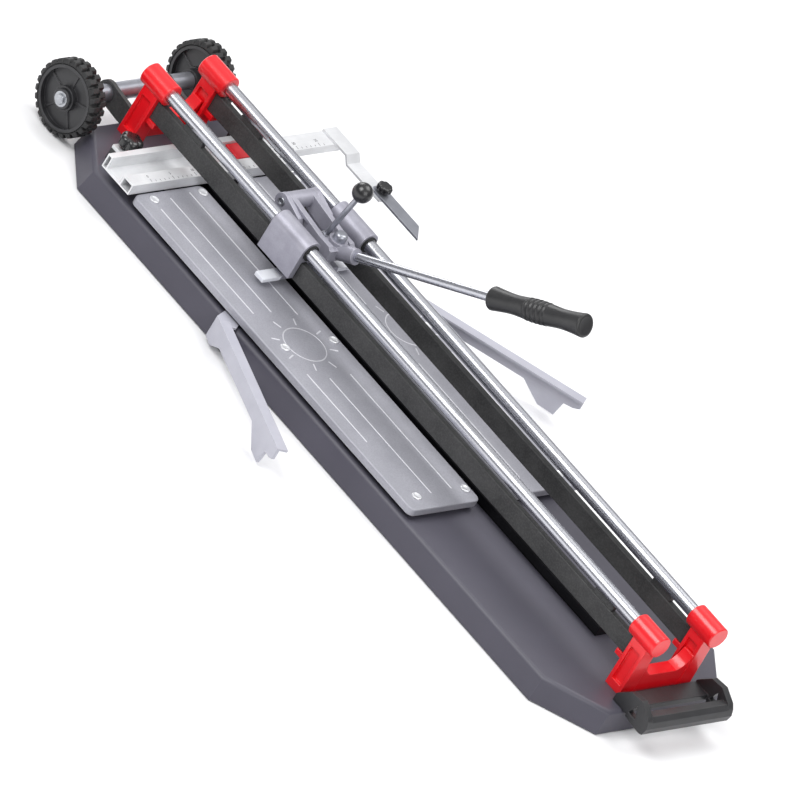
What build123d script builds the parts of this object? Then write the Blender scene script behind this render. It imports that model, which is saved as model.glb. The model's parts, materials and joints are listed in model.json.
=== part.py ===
from build123d import *
from math import atan2, cos, degrees, pi, radians, sin
import os

# Manual tile cutter, about one metre of cut, standing on a flat floor.
# +X runs along the machine to the carrying handle, +Y to its right-hand side, +Z up.
# The origin is on the floor, half-way along the base tray and midway between the guide rails.
# All lengths are millimetres and all angles degrees.

# ---------------------------------------------------------------- clearances
fit = 0.05            # radial clearance of a running or push fit
seat_gap = 0.3        # gap between neighbouring faces that move past each other
slide_gap = 1.0       # gap between the carriage and the fixed beams

# ---------------------------------------------------------------- base tray
base_length = 1324
base_width = 410
base_height = 42
base_lift = 1.5       # tray rim above the floor
base_wall = 4
base_draft = 10.5     # inward lean of the long sides
base_end_draft = 4    # inward lean of the ends
corner_x = 90
corner_y = 72
rib_depth = 22        # stiffening ribs under the tray
rib_width = 4
rib_row = 60          # the two long ribs stand this far from the middle
cross_ribs = 5

foot_diameter = 34
foot_height = 7
foot_rows_x = (-545, 0, 545)
foot_rows_y = (-145, 0, 145)

bar_width = 44        # breaking bar along the middle
bar_height = 18.5
bar_near = 505
bar_far = -578
strip_width = 5       # steel breaking strip let into the bar
strip_depth = 2.5
strip_rise = 1.0

# ---------------------------------------------------------------- guide rails and beams
rail_diameter = 22
rail_gauge = 130
rail_height = 147
beam_width = 12
beam_height = 33
beam_drop = 9         # clear height between rail and beam
saddle_length = 45
saddle_width = 10
saddle_inset = 48     # from a boss face to the nearest saddle

# ---------------------------------------------------------------- end supports
boss_diameter = 38
boss_length = 57
near_inset = 22       # boss end to tray end, handle side
far_inset = 7         # boss end to tray end, wheel side
rail_seat = 49        # depth of the rail in its boss
post_offset = 12.5    # post face behind the boss face
post_length = 33
post_width = 30
post_draft = 4
pocket_rim = 6        # rim around the pockets in the sides of a post
pocket_depth = 4
web_offset = 22
web_length = 22
web_rise = 34
gusset_run = 22       # curved corners between web and posts
gusset_rise = 26
lug_length = 17       # lug that carries the end of a beam
lug_width = 16
lug_height = 9
bolt_diameter = 8
bolt_head = 14
bolt_head_height = 5.5
bolt_grip = 26        # depth of the bolt in its post

# ---------------------------------------------------------------- tile plates
plate_length = 710
plate_width = 155
plate_height = 12
plate_wall = 4
plate_level = 63      # top face above the floor
plate_inner = 38      # inner edge to the middle
plate_start = -488
plate_corner = 12
plate_travel = 3
stud_diameter = 17
stud_head = 2
stud_shank = 6
stud_far = 16         # first stud to the far end of the plate
stud_near = 27.5      # last stud to the near end of the plate
stud_inner = 13       # inner stud row to the inner edge
stud_outer = 33       # outer stud row to the outer edge
stud_columns = 3
buffer_diameter = 16
guide_diameter = 10   # guide pins that steer the sinking plates
guide_boss = 18
guide_rows = (0.06, 0.72)
guide_engage = 5

# ---------------------------------------------------------------- carriage
carriage_start = -322
sleeve_length = 77
sleeve_diameter = 38
bush_wall = 2
bush_length = 18
wiper_length = 3
skirt_level = 97
flange_wall = 9
flange_setback = 4
bridge_level = 102
bridge_height = 16
bridge_gap = 5        # bridge to the scoring shaft
ear_gap = 2.5         # hinge ears to the heads of the breaker pins
hinge_back = 30       # lever hinge axis behind the sleeves
hinge_level = 152
hinge_radius = 14
hinge_pin = 12
hinge_ear = 29        # inner face of a hinge ear to the middle
hinge_wall = 10       # thickness of a hinge ear
wiper_wall = 3

# ---------------------------------------------------------------- lever, scoring head, breaker
lever_angle = 29.4
lever_diameter = 15
lever_root_x = 140    # where the bare rod starts, ahead of the hinge
lever_root_z = 8
lever_seat = 34
socket_diameter = 26
grip_start = 276
grip_length = 194
grip_diameter = 39
grip_waist = 32       # diameter of the two waists beside the rings
grip_cover = 180      # length of the rod inside the grip
grip_rings = 5
grip_ring_pitch = 8.5
cheek_width = 10
head_start = 83       # head block behind and ahead of the hinge axis
head_length = 32
head_top = 155
head_bottom = 130
holder_x = 98         # scoring shaft ahead of the hinge axis
holder_diameter = 14
nut_diameter = 22
nut_height = 13
fork_length = 16
fork_width = 14
fork_top = 97
fork_bottom = 74
scorer_diameter = 22
scorer_width = 3
scorer_level = 77
scorer_pin = 5
scorer_room = 3.4
ball_diameter = 33
ball_stick = 9
ball_hub = 18
ball_hub_width = 16
ball_pivot_x = 72.5
ball_pivot_z = 141
ball_x = 91
ball_z = 247
pivot_pin = 8
foot_bar_length = 20
foot_bar_span = 210
foot_bar_height = 8
foot_bar_level = 72
foot_bar_x = 75
foot_pad_reach = 41
foot_travel = 4
foot_pin_diameter = 12
foot_pin_row = 30
foot_pin_head = 17
foot_pin_cap = 5

# ---------------------------------------------------------------- wheels
wheel_diameter = 123
wheel_width = 32
wheel_track = 294
wheel_reach = 40      # axle behind the end of the tray
wheel_z = 62.5
tyre_height = 9
tyre_lugs = 28
lug_depth = 2.6
wheel_recess = 10
wheel_ribs = 5
rib_relief = 2        # height of a rib above the web
hub_diameter = 40
axle_diameter = 28
axle_bore = 19
axle_cap_diameter = 33
axle_cap_length = 5
bracket_wall = 8
bracket_row = 58      # inner face of a cheek to the middle
bracket_rise = 34     # height of a cheek behind the post
spacer_length = 12
bracket_eye = 40

# ---------------------------------------------------------------- carrying handle
handle_span = 194
handle_cheek = 12
handle_block = 31
handle_plate = 10     # height of the block between the cheeks
handle_heel = 13      # height of a cheek where it meets the block's back
handle_gap = 4.5      # handle block to the posts
handle_rise = 38      # highest point of a cheek above the tray
handle_reach = 47     # block face to the front of the grip bar
handle_bar = 22
handle_drop = 6       # underside of the grip bar below the tray top
handle_step = 14      # top of the grip bar below the top of a cheek

# ---------------------------------------------------------------- lateral stop with ruler and square
stop_gap = 1          # stop face to the plates
stop_left = 205       # end of the stop left of the middle
stop_right = 168      # end of the stop right of the middle
stop_level = 63
stop_rise = 19
stop_box = 23
stop_floor = 4
stop_valley = 33
stop_fence = 11
stop_fence_rise = 25
stop_flange = 34       # reach of the clamp tabs behind the fence
stop_tab = 6
stop_wall = 2.5
knob_row = 133
knob_offset = 22.5     # knob axis behind the fence
knob_stud = 8
knob_diameter = 42
knob_height = 18
knob_lift = 11        # lower face of the knob's star above the stop's lower face
knob_hub = 17
knob_lobes = 5
clamp_width = 40
ruler_end = 290
ruler_length = 238
ruler_wall = 3
ruler_cap = 29        # length of the red cap on the inner end
cap_plug = 20
square_width = 30
square_wall = 4
square_step = 11
square_ramp = 10
square_shoulder = 58
square_length = 152
square_pivot = 138    # blade pivot ahead of the back edge of the square arm
blade_length = 107
blade_width = 26
blade_wall = 4
blade_tail = 13
blade_bevel = 26
small_knob = 25
small_knob_height = 13
knob_flange_wall = 3

# ---------------------------------------------------------------- folding side arms
arm_pivot_x = -232
arm_pivot_inset = 23  # pivot inside the side of the tray
right_arm_angle = 26
left_arm_angle = 24.5
arm_length = 331
arm_tip_level = 61
arm_offset = 31       # outer face of the web to the pivot
arm_web = 5
arm_flange = 18.5
arm_flange_wall = 4
arm_depth = 26
arm_reach = 6         # clearance of heel and toe above the floor
arm_toe_back = 98     # toe to the tip, and its foot
arm_toe_foot = 30
arm_heel_start = 8
arm_heel_foot = 22
arm_heel_run = 50
arm_tongue = 4
arm_eye = 30
arm_pin = 12
arm_pin_head = 17
arm_pin_head_height = 4

# ---------------------------------------------------------------- derived places
half_length = base_length / 2
half_width = base_width / 2
wheel_x = -half_length - wheel_reach
arm_pivot_y = half_width - arm_pivot_inset
near_face = half_length - near_inset - boss_length
far_face = -(half_length - far_inset - boss_length)
rail_y = rail_gauge / 2
rail_radius = rail_diameter / 2
beam_top = rail_height - rail_radius - beam_drop
beam_bottom = beam_top - beam_height
beam_near = near_face + post_offset
beam_far = far_face - post_offset
beam_outer = rail_y + beam_width / 2
beam_inner = rail_y - beam_width / 2
plate_bottom = plate_level - plate_height
plate_end = plate_start + plate_length
plate_outer = plate_inner + plate_width
carriage_end = carriage_start + sleeve_length
hinge_x = carriage_start - hinge_back
holder_place = hinge_x + holder_x
bridge_start = carriage_start + flange_setback
bridge_end = holder_place - holder_diameter / 2 - bridge_gap
bar_top = base_height + bar_height


def block(x0, x1, y0, y1, z0, z1):
    """A box between two corners, its faces square to the axes."""
    return Pos((x0 + x1) / 2, (y0 + y1) / 2, (z0 + z1) / 2) * Box(x1 - x0, y1 - y0, z1 - z0)


def rod_x(x0, x1, y, z, diameter):
    """A round bar along X."""
    return Pos((x0 + x1) / 2, y, z) * Rot(0, 90, 0) * Cylinder(diameter / 2, x1 - x0)


def rod_y(y0, y1, x, z, diameter):
    """A round bar along Y."""
    return Pos(x, (y0 + y1) / 2, z) * Rot(90, 0, 0) * Cylinder(diameter / 2, y1 - y0)


def rod_z(z0, z1, x, y, diameter):
    """An upright round bar."""
    return Pos(x, y, (z0 + z1) / 2) * Cylinder(diameter / 2, z1 - z0)


def prism_x(points, x0, x1):
    """A straight prism along X with a (y, z) outline."""
    face = make_face(Polyline(*[(x0, y, z) for y, z in points], close=True))
    return extrude(face, amount=x1 - x0, dir=(1, 0, 0))


def prism_y(points, y0, y1):
    """A straight prism along Y with an (x, z) outline."""
    face = make_face(Polyline(*[(x, y0, z) for x, z in points], close=True))
    return extrude(face, amount=y1 - y0, dir=(0, 1, 0))


def prism_z(points, z0, z1):
    """An upright prism with an (x, y) outline."""
    face = make_face(Polyline(*[(x, y, z0) for x, y in points], close=True))
    return extrude(face, amount=z1 - z0, dir=(0, 0, 1))


def other_side(shape):
    """The same shape on the left-hand side of the machine."""
    return mirror(shape, about=Plane.XZ)


def save(name, *shapes):
    """Write one node; several shapes stay separate solids of it."""
    solids = [solid for shape in shapes for solid in shape.solids()]
    node = solids[0] if len(solids) == 1 else Compound(solids)
    export_step(node, f"parts/{name}.step")


def octagon(length, width, level, cut_x, cut_y):
    """Tray outline with cut corners at one level."""
    x = length / 2
    y = width / 2
    corners = [(x, y - cut_y), (x - cut_x, y), (-x + cut_x, y), (-x, y - cut_y),
               (-x, -y + cut_y), (-x + cut_x, -y), (x - cut_x, -y), (x, -y + cut_y)]
    return make_face(Polyline(*[(u, v, level) for u, v in corners], close=True))


def frustum(inset, low, high):
    """Tray body with leaning sides, drawn in by an inset, between two levels."""
    slope = base_draft / (base_height - base_lift)
    end_slope = base_end_draft / (base_height - base_lift)
    faces = []
    for level in (low, high):
        length = base_length - 2 * (inset + end_slope * (level - base_lift))
        width = base_width - 2 * (inset + slope * (level - base_lift))
        faces.append(octagon(length, width, level, corner_x, corner_y))
    return loft(faces, ruled=True)


def guide_places():
    """Guide pin axes under the right-hand plate."""
    y = plate_inner + plate_width / 2
    return [(plate_start + plate_length * share, y) for share in guide_rows]


def stud_places():
    """Stud and buffer axes of the right-hand plate."""
    first = plate_start + stud_far
    step = (plate_length - stud_far - stud_near) / (stud_columns - 1)
    rows = (plate_inner + stud_inner, plate_outer - stud_outer)
    return [(first + index * step, y) for index in range(stud_columns) for y in rows]


def foot_places():
    """Foot axes: a row of three at mid-length and one foot at each end corner."""
    return [(x, y) for x in foot_rows_x for y in foot_rows_y if x == 0 or y != 0]


def post_places():
    """Middle of each support post's foot."""
    x_near = near_face + post_offset + post_length / 2
    x_far = far_face - post_offset - post_length / 2
    return [(x, side * rail_y) for x in (x_near, x_far) for side in (-1, 1)]


# ---------------------------------------------------------------- base
def base_tray():
    """Pressed tray, open underneath, with ribs and foot bosses."""
    roof = base_height - base_wall
    body = frustum(0, base_lift, base_height)
    body -= frustum(base_wall, base_lift, roof)
    inside = frustum(base_wall / 2, base_lift, base_height)
    ribs = None
    for side in (-1, 1):
        y = side * rib_row
        rib = block(-half_length, half_length, y - rib_width / 2, y + rib_width / 2, roof - rib_depth, roof)
        ribs = rib if ribs is None else ribs + rib
    step = (base_length - 2 * corner_x) / (cross_ribs - 1)
    for index in range(cross_ribs):
        x = -half_length + corner_x + index * step
        ribs += block(x - rib_width / 2, x + rib_width / 2, -half_width, half_width, roof - rib_depth, roof)
    body += ribs & inside
    for x, y in foot_places():
        body += rod_z(foot_height, roof, x, y, foot_diameter)
    for x, y in post_places():
        body -= rod_z(roof - rib_depth, base_height, x, y, bolt_diameter + 2 * fit)
        body -= rod_z(roof - rib_depth, roof, x, y, bolt_head + 4)
    for side in (-1, 1):
        body -= rod_z(roof, base_height, arm_pivot_x, side * arm_pivot_y, arm_pin + 2 * fit)
    return body


def rubber_feet():
    """Rubber feet under the tray bosses; the middle one stands under the breaking bar."""
    return [rod_z(0, foot_height, x, y, foot_diameter) for x, y in foot_places()]


def breaking_bar():
    """Bar along the cut line, grooved for the steel strip."""
    bar = block(bar_far, bar_near, -bar_width / 2, bar_width / 2, base_height, bar_top)
    top_edges = bar.edges().filter_by(Axis.X).group_by(Axis.Z)[-1]
    bar = chamfer(top_edges, 2)
    groove = block(plate_start, bar_near, -strip_width / 2, strip_width / 2, bar_top - strip_depth, bar_top)
    return bar - groove


def breaking_strip():
    """Steel strip that the tile breaks over."""
    return block(plate_start, bar_near, -strip_width / 2, strip_width / 2,
                 bar_top - strip_depth, bar_top + strip_rise)


# ---------------------------------------------------------------- supports, rails and beams
def support(face, outward):
    """End casting with two rail bosses, two posts and a cross web."""
    def span(start, length):
        ends = (face + outward * start, face + outward * (start + length))
        return min(ends), max(ends)

    boss = span(0, boss_length)
    post = span(post_offset, post_length)
    web = span(web_offset, web_length)
    lug = span(post_offset - lug_length, lug_length)
    top = post_width / 2 - post_draft / 2
    half = post_width / 2
    body = None
    for side in (-1, 1):
        y = side * rail_y
        outline = [(y - half, base_height), (y + half, base_height), (y + top, rail_height),
                   (y - top, rail_height)]
        column = prism_x(outline, *post)
        column += rod_x(*boss, y, rail_height, boss_diameter)
        column += block(*lug, y - lug_width / 2, y + lug_width / 2, beam_bottom - lug_height, beam_bottom)
        pocket = span(post_offset + pocket_rim, post_length - 2 * pocket_rim)
        for low_y, high_y in ((y - half, y - top + pocket_depth), (y + top - pocket_depth, y + half)):
            column -= block(*pocket, low_y, high_y, base_height + 14, beam_top - 8)
        body = column if body is None else body + column
    body += block(*web, -rail_y, rail_y, base_height, base_height + web_rise)
    for side in (-1, 1):
        corner = side * (rail_y - half)
        foot = base_height + web_rise
        root = corner + side * post_draft
        gusset = [(root, foot - 1), (corner - side * gusset_run, foot - 1),
                  (corner - side * gusset_run * 0.55, foot + 5),
                  (corner - side * gusset_run * 0.23, foot + gusset_rise / 2), (corner, foot + gusset_rise),
                  (root, foot + gusset_rise)]
        body += prism_x(gusset, *web)
    for side in (-1, 1):
        y = side * rail_y
        body -= rod_x(*span(-1, rail_seat + 1), y, rail_height, rail_diameter + 2 * fit)
        x = (post[0] + post[1]) / 2
        body -= rod_z(base_height - 1, base_height + bolt_grip, x, y, bolt_diameter + 2 * fit)
    rims = body.edges().filter_by(GeomType.CIRCLE).filter_by(lambda edge: edge.radius > boss_diameter / 2 - 1)
    rows = rims.group_by(Axis.X)
    return chamfer(rows[0] + rows[-1], 1.5)


def support_bolts():
    """Bolts that hold the posts down, put in from below."""
    roof = base_height - base_wall
    bolts = []
    for x, y in post_places():
        bolt = rod_z(roof, base_height + bolt_grip - 1, x, y, bolt_diameter)
        head = Pos(x, y, roof - bolt_head_height) * extrude(RegularPolygon(bolt_head / 2, 6),
                                                            bolt_head_height)
        bolts.append(bolt + head)
    return bolts


def guide_rail():
    """Chromed rail on the right-hand side, seated in both bosses."""
    return rod_x(far_face - rail_seat + 1, near_face + rail_seat - 1, rail_y, rail_height, rail_diameter)


def beam():
    """Flat beam under the right-hand rail."""
    bar = block(beam_far, beam_near, beam_inner, beam_outer, beam_bottom, beam_top)
    return chamfer(bar.edges().filter_by(Axis.X), 1)


def saddles():
    """Cradles between the right-hand rail and its beam, one near each end."""
    starts = (far_face + saddle_inset, near_face - saddle_inset - saddle_length)
    cradles = []
    for start in starts:
        cradle = block(start, start + saddle_length, rail_y - saddle_width / 2, rail_y + saddle_width / 2,
                       beam_top, rail_height - rail_radius + 2)
        cradles.append(cradle - rod_x(start - 1, start + saddle_length + 1, rail_y, rail_height,
                                      rail_diameter + 2 * fit))
    return cradles


# ---------------------------------------------------------------- tile plates
def tile_plate():
    """Right-hand plate: ribbed top face, downturned edges, bosses for the guide pins."""
    top = plate_level
    plate = block(plate_start, plate_end, plate_inner, plate_outer, plate_bottom, top)
    plate = fillet(plate.edges().filter_by(Axis.Z), plate_corner)
    plate = fillet(plate.faces().sort_by(Axis.Z)[-1].edges(), 2.5)
    roof = top - plate_wall
    plate -= block(plate_start + plate_wall, plate_end - plate_wall, plate_inner + plate_wall,
                   plate_outer - plate_wall, plate_bottom, roof)
    for x, y in guide_places():
        plate += rod_z(plate_bottom - 1, roof, x, y, guide_boss)
        plate -= rod_z(plate_bottom - 1, roof, x, y, guide_diameter + 2 * fit)
    for x, y in stud_places():
        plate -= rod_z(roof, top, x, y, stud_shank + 2 * fit)
    return plate


def plate_studs():
    """Button studs through the right-hand plate into its buffers."""
    studs = []
    for x, y in stud_places():
        head = rod_z(plate_level, plate_level + stud_head, x, y, stud_diameter)
        head = fillet(head.faces().sort_by(Axis.Z)[-1].edges(), stud_head * 0.8)
        studs.append(head + rod_z(base_height + 2 * plate_travel, plate_level, x, y, stud_shank))
    return studs


def plate_buffers():
    """Rubber buffers that the right-hand plate sinks on."""
    buffers = []
    for x, y in stud_places():
        buffer = rod_z(base_height, plate_level - plate_wall, x, y, buffer_diameter)
        buffers.append(buffer - rod_z(base_height, plate_level, x, y, stud_shank + 2 * seat_gap))
    return buffers


def guide_pins():
    """Pins on the tray that steer both plates."""
    top = plate_bottom - 1 + guide_engage
    places = [(x, side * y) for x, y in guide_places() for side in (-1, 1)]
    return [rod_z(base_height, top, x, y, guide_diameter) for x, y in places]


# ---------------------------------------------------------------- carriage
def carriage():
    """Casting that runs on both rails and carries the lever hinge."""
    sleeve_radius = sleeve_diameter / 2
    sleeve_low = beam_top + slide_gap
    inner = beam_inner - slide_gap - 1
    outer = beam_outer + slide_gap
    body = None
    for side in (-1, 1):
        y = side * rail_y

        def across(first, second):
            ends = (side * first, side * second)
            return min(ends), max(ends)

        part = rod_x(carriage_start, carriage_end, y, rail_height, sleeve_diameter)
        part += block(carriage_start, carriage_end, *across(inner - flange_wall, rail_y + sleeve_radius),
                      sleeve_low, rail_height)
        part += block(carriage_start, carriage_end, *across(outer, rail_y + sleeve_radius), skirt_level,
                      rail_height)
        part += block(bridge_start, bridge_end + 4, *across(inner - flange_wall, inner), bridge_level,
                      rail_height)
        ear_ends = across(hinge_ear, hinge_ear + hinge_wall)
        ear = rod_y(*ear_ends, hinge_x, hinge_level, 2 * hinge_radius)
        ear_front = hinge_x + foot_bar_x - foot_pin_head / 2 - ear_gap
        ear_outline = [(hinge_x, hinge_level - hinge_radius), (bridge_start, bridge_level),
                       (ear_front, bridge_level), (ear_front, bridge_level + bridge_height + 6),
                       (carriage_start + 12, hinge_level + 2), (hinge_x, hinge_level + hinge_radius)]
        ear += prism_y(ear_outline, *ear_ends)
        body = part + ear if body is None else body + part + ear
    body += block(bridge_start, bridge_end, -inner, inner, bridge_level, bridge_level + bridge_height)
    for side in (-1, 1):
        y = side * rail_y
        body -= rod_x(carriage_start - 1, carriage_end + 1, y, rail_height,
                      rail_diameter + 2 * bush_wall + 2 * fit)
        body -= rod_z(bridge_level - 1, bridge_level + bridge_height + 1, hinge_x + foot_bar_x,
                      side * foot_pin_row, foot_pin_diameter + 2 * fit)
    pin_room = hinge_ear + hinge_wall
    body -= rod_y(-pin_room, pin_room, hinge_x, hinge_level, hinge_pin + 2 * fit)
    return body


def rail_bushes():
    """Plain bushes at both ends of both sleeves."""
    rings = []
    starts = (carriage_start, carriage_end - bush_length)
    for y in (-rail_y, rail_y):
        for start in starts:
            ring = rod_x(start, start + bush_length, y, rail_height, rail_diameter + 2 * bush_wall)
            rings.append(ring - rod_x(start, start + bush_length, y, rail_height, rail_diameter + 2 * fit))
    return rings


def rail_wipers():
    """Rubber wipers on the sleeve ends."""
    rings = []
    for y in (-rail_y, rail_y):
        for start in (carriage_start - wiper_length, carriage_end):
            ring = rod_x(start, start + wiper_length, y, rail_height, rail_diameter + 2 * wiper_wall)
            rings.append(ring - rod_x(start, start + wiper_length, y, rail_height,
                                      rail_diameter + 2 * seat_gap))
    return rings


def hinge_pin_bar():
    """Pin of the lever hinge, held in both ears."""
    half = hinge_ear + hinge_wall - seat_gap
    return rod_y(-half, half, hinge_x, hinge_level, hinge_pin)


# ---------------------------------------------------------------- lever
def along_lever(distance, across=0):
    """A point in the lever's plane, measured along and square to the rod axis."""
    angle = radians(lever_angle)
    x = hinge_x + lever_root_x + distance * cos(angle) - across * sin(angle)
    z = hinge_level + lever_root_z + distance * sin(angle) + across * cos(angle)
    return x, z


def lever_bar(start, length, diameter):
    """A round bar on the rod axis."""
    x, z = along_lever(start + length / 2)
    return Pos(x, 0, z) * Rot(0, 90 - lever_angle, 0) * Cylinder(diameter / 2, length)


def lever_bracket():
    """Forked casting between the hinge and the rod, with the scoring head block."""
    reach = hinge_ear - seat_gap
    body = rod_y(-reach, reach, hinge_x, hinge_level, 2 * hinge_radius - 1)
    cheek = [(hinge_x, hinge_level - hinge_radius + 1), (hinge_x + head_start, head_bottom),
             (hinge_x + head_start + head_length, head_bottom), (hinge_x + head_start + head_length,
                                                                 head_top - 8),
             (hinge_x + head_start + head_length - 8, head_top), (hinge_x + head_start, head_top),
             (hinge_x + 30, hinge_level + 9), (hinge_x, hinge_level + hinge_radius - 1)]
    for side in (-1, 1):
        ends = sorted((side * reach, side * (reach - cheek_width)))
        body += prism_y(cheek, *ends)
    body += block(hinge_x + head_start, hinge_x + head_start + head_length, -reach, reach, head_bottom,
                  head_top - 4)
    body += rod_z(head_top - 10, head_top + 3, holder_place, 0, nut_diameter + 8)
    body += lever_bar(-lever_seat - 2, lever_seat + 2, socket_diameter)
    slot = reach - cheek_width
    body -= block(hinge_x + hinge_radius + 3, hinge_x + head_start, -slot, slot, head_bottom - 10,
                  head_top + 30)
    body -= rod_y(-reach - 1, reach + 1, hinge_x, hinge_level, hinge_pin + 2 * fit)
    body -= rod_z(head_bottom - 1, head_top + 4, holder_place, 0, holder_diameter + 2 * fit)
    body -= lever_bar(-lever_seat, lever_seat + 4, lever_diameter + 2 * fit)
    body -= rod_y(-reach - 1, reach + 1, hinge_x + ball_pivot_x, ball_pivot_z, pivot_pin + 2 * fit)
    for side in (-1, 1):
        ends = sorted((side * (reach + 1), side * (reach - 4)))
        for start in (22, 42):
            body -= block(hinge_x + start, hinge_x + start + 13, *ends, hinge_level - 11, hinge_level + 2)
    return body


def lever_rod():
    """Chromed rod from the socket into the grip."""
    return lever_bar(-lever_seat, lever_seat + grip_start + grip_cover, lever_diameter)


def lever_grip():
    """Moulded grip, flared at both ends, waisted beside the finger rings in the middle."""
    radius = grip_diameter / 2
    waist = grip_waist / 2
    bore = lever_diameter / 2 + fit
    middle = grip_length / 2
    first = middle - grip_ring_pitch * grip_rings / 2
    last = middle + grip_ring_pitch * grip_rings / 2
    outline = [(bore, 0), (radius - 5, 0), (radius - 1.5, 2), (radius, 6), (radius - 0.5, 18),
               (waist + 1, first * 0.6), (waist, first - 6), (waist + 1, first)]
    for index in range(grip_rings):
        start = first + index * grip_ring_pitch
        outline += [(waist + 3, start + 2), (waist + 3, start + grip_ring_pitch - 2.5),
                    (waist + 1, start + grip_ring_pitch)]
    outline += [(waist, last + 8), (waist + 1, last + (grip_length - last) * 0.5),
                (radius - 1, grip_length - 16),
                (radius, grip_length - 6), (radius - 1.5, grip_length - 1.5), (radius - 4, grip_length),
                (0, grip_length), (0, grip_cover + 1), (bore, grip_cover + 1)]
    face = make_face(Polyline(*[(r, 0, h) for r, h in outline], close=True))
    x, z = along_lever(grip_start)
    return Pos(x, 0, z) * Rot(0, 90 - lever_angle, 0) * revolve(face, Axis.Z)


# ---------------------------------------------------------------- scoring head and ball lever
def scoring_holder():
    """Shaft and fork that carry the scoring wheel."""
    half = fork_length / 2
    holder = rod_z(fork_top - 2, head_top + 3 + nut_height * 0.6, holder_place, 0, holder_diameter)
    fork = block(holder_place - half, holder_place + half, -fork_width / 2, fork_width / 2, fork_bottom,
                 fork_top)
    fork = chamfer(fork.edges().filter_by(Axis.Y).group_by(Axis.Z)[0], 4)
    holder += fork
    holder -= block(holder_place - half - 1, holder_place + half + 1, -scorer_room / 2, scorer_room / 2,
                    fork_bottom - 1, scorer_level + scorer_diameter / 2 + 1.5)
    holder -= rod_y(-fork_width, fork_width, holder_place, scorer_level, scorer_pin + 2 * fit)
    return holder


def cap_nut():
    """Domed nut on the scoring shaft."""
    base = head_top + 3
    radius = nut_diameter / 2
    nut = rod_z(base, base + nut_height, holder_place, 0, nut_diameter)
    nut = fillet(nut.faces().sort_by(Axis.Z)[-1].edges(), radius * 0.55)
    return nut - rod_z(base, base + nut_height * 0.6 + seat_gap, holder_place, 0, holder_diameter + 2 * fit)


def scoring_wheel():
    """Hardened wheel with a vee edge."""
    radius = scorer_diameter / 2
    half = scorer_width / 2
    bore = scorer_pin / 2 + fit
    outline = [(bore, -half), (radius - 2, -half), (radius, 0), (radius - 2, half), (bore, half)]
    face = make_face(Polyline(*[(r, 0, h) for r, h in outline], close=True))
    return Pos(holder_place, 0, scorer_level) * Rot(90, 0, 0) * revolve(face, Axis.Z)


def scoring_pin():
    """Pin of the scoring wheel."""
    return rod_y(-fork_width / 2, fork_width / 2, holder_place, scorer_level, scorer_pin)


def ball_stick_bar():
    """Ball lever: hub between the cheeks and a slim stick."""
    x0 = hinge_x + ball_pivot_x
    rise = ball_z - ball_pivot_z
    lean = ball_x - ball_pivot_x
    length = (rise ** 2 + lean ** 2) ** 0.5
    tilt = degrees(atan2(lean, rise))
    stick = Pos(x0, 0, ball_pivot_z) * Rot(0, tilt, 0) * Pos(0, 0, length / 2) * Cylinder(ball_stick / 2,
                                                                                          length)
    hub = rod_y(-ball_hub_width / 2, ball_hub_width / 2, x0, ball_pivot_z, ball_hub)
    return hub + stick - rod_y(-ball_hub_width, ball_hub_width, x0, ball_pivot_z, pivot_pin + 2 * fit)


def ball_knob():
    """Ball on the end of the stick."""
    x = hinge_x + ball_x
    x0 = hinge_x + ball_pivot_x
    tilt = degrees(atan2(ball_x - ball_pivot_x, ball_z - ball_pivot_z))
    hole = Pos(x, 0, ball_z) * Rot(0, tilt, 0) * Pos(0, 0, -ball_diameter / 2)
    ball = Pos(x, 0, ball_z) * Sphere(ball_diameter / 2)
    return ball - hole * Cylinder(ball_stick / 2 + fit, ball_diameter)


def ball_pivot_pin():
    """Cross pin of the ball lever."""
    half = hinge_ear - seat_gap - 0.5
    return rod_y(-half, half, hinge_x + ball_pivot_x, ball_pivot_z, pivot_pin)


def breaker_foot():
    """Cross bar under the beams, hung on two headed pins."""
    x = hinge_x + foot_bar_x
    half = foot_bar_length / 2
    span = foot_bar_span / 2 - foot_pad_reach
    top = foot_bar_level + foot_bar_height
    body = block(x - half, x + half, -span, span, foot_bar_level, top)
    body = chamfer(body.edges().filter_by(Axis.Y).group_by(Axis.Z)[-1], 2)
    ledge = bridge_level + bridge_height + foot_travel + 0.5
    for side in (-1, 1):
        body += rod_z(top - 1, ledge + foot_pin_cap, x, side * foot_pin_row, foot_pin_diameter)
        body += rod_z(ledge, ledge + foot_pin_cap, x, side * foot_pin_row, foot_pin_head)
    return body


def breaker_pads():
    """White pads on both ends of the breaker foot."""
    x = hinge_x + foot_bar_x
    half = foot_bar_length / 2
    outer = foot_bar_span / 2
    pads = []
    for side in (-1, 1):
        ends = sorted((side * (outer - foot_pad_reach), side * outer))
        pad = block(x - half, x + half, *ends, foot_bar_level - 1, foot_bar_level + foot_bar_height - 2)
        pads.append(chamfer(pad.edges().filter_by(Axis.Z), 1))
    return pads


# ---------------------------------------------------------------- transport wheels
def tyre():
    """Right-hand tyre with cleats."""
    radius = wheel_diameter / 2
    points = []
    for index in range(tyre_lugs):
        start = 2 * pi * index / tyre_lugs
        for share, reach in ((0.05, radius - lug_depth), (0.18, radius), (0.62, radius),
                             (0.75, radius - lug_depth)):
            angle = start + share * 2 * pi / tyre_lugs
            points.append((reach * cos(angle), reach * sin(angle)))
    tread = prism_z(points, -wheel_width / 2, wheel_width / 2)
    half = wheel_width / 2
    shoulder = 5
    outline = [(radius - tyre_height, -half), (radius - shoulder, -half), (radius + 1, -half + shoulder),
               (radius + 1, half - shoulder), (radius - shoulder, half), (radius - tyre_height, half)]
    crown = revolve(make_face(Polyline(*[(r, 0, h) for r, h in outline], close=True)), Axis.Z)
    return Pos(wheel_x, wheel_track / 2, wheel_z) * Rot(90, 0, 0) * (tread & crown)


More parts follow.
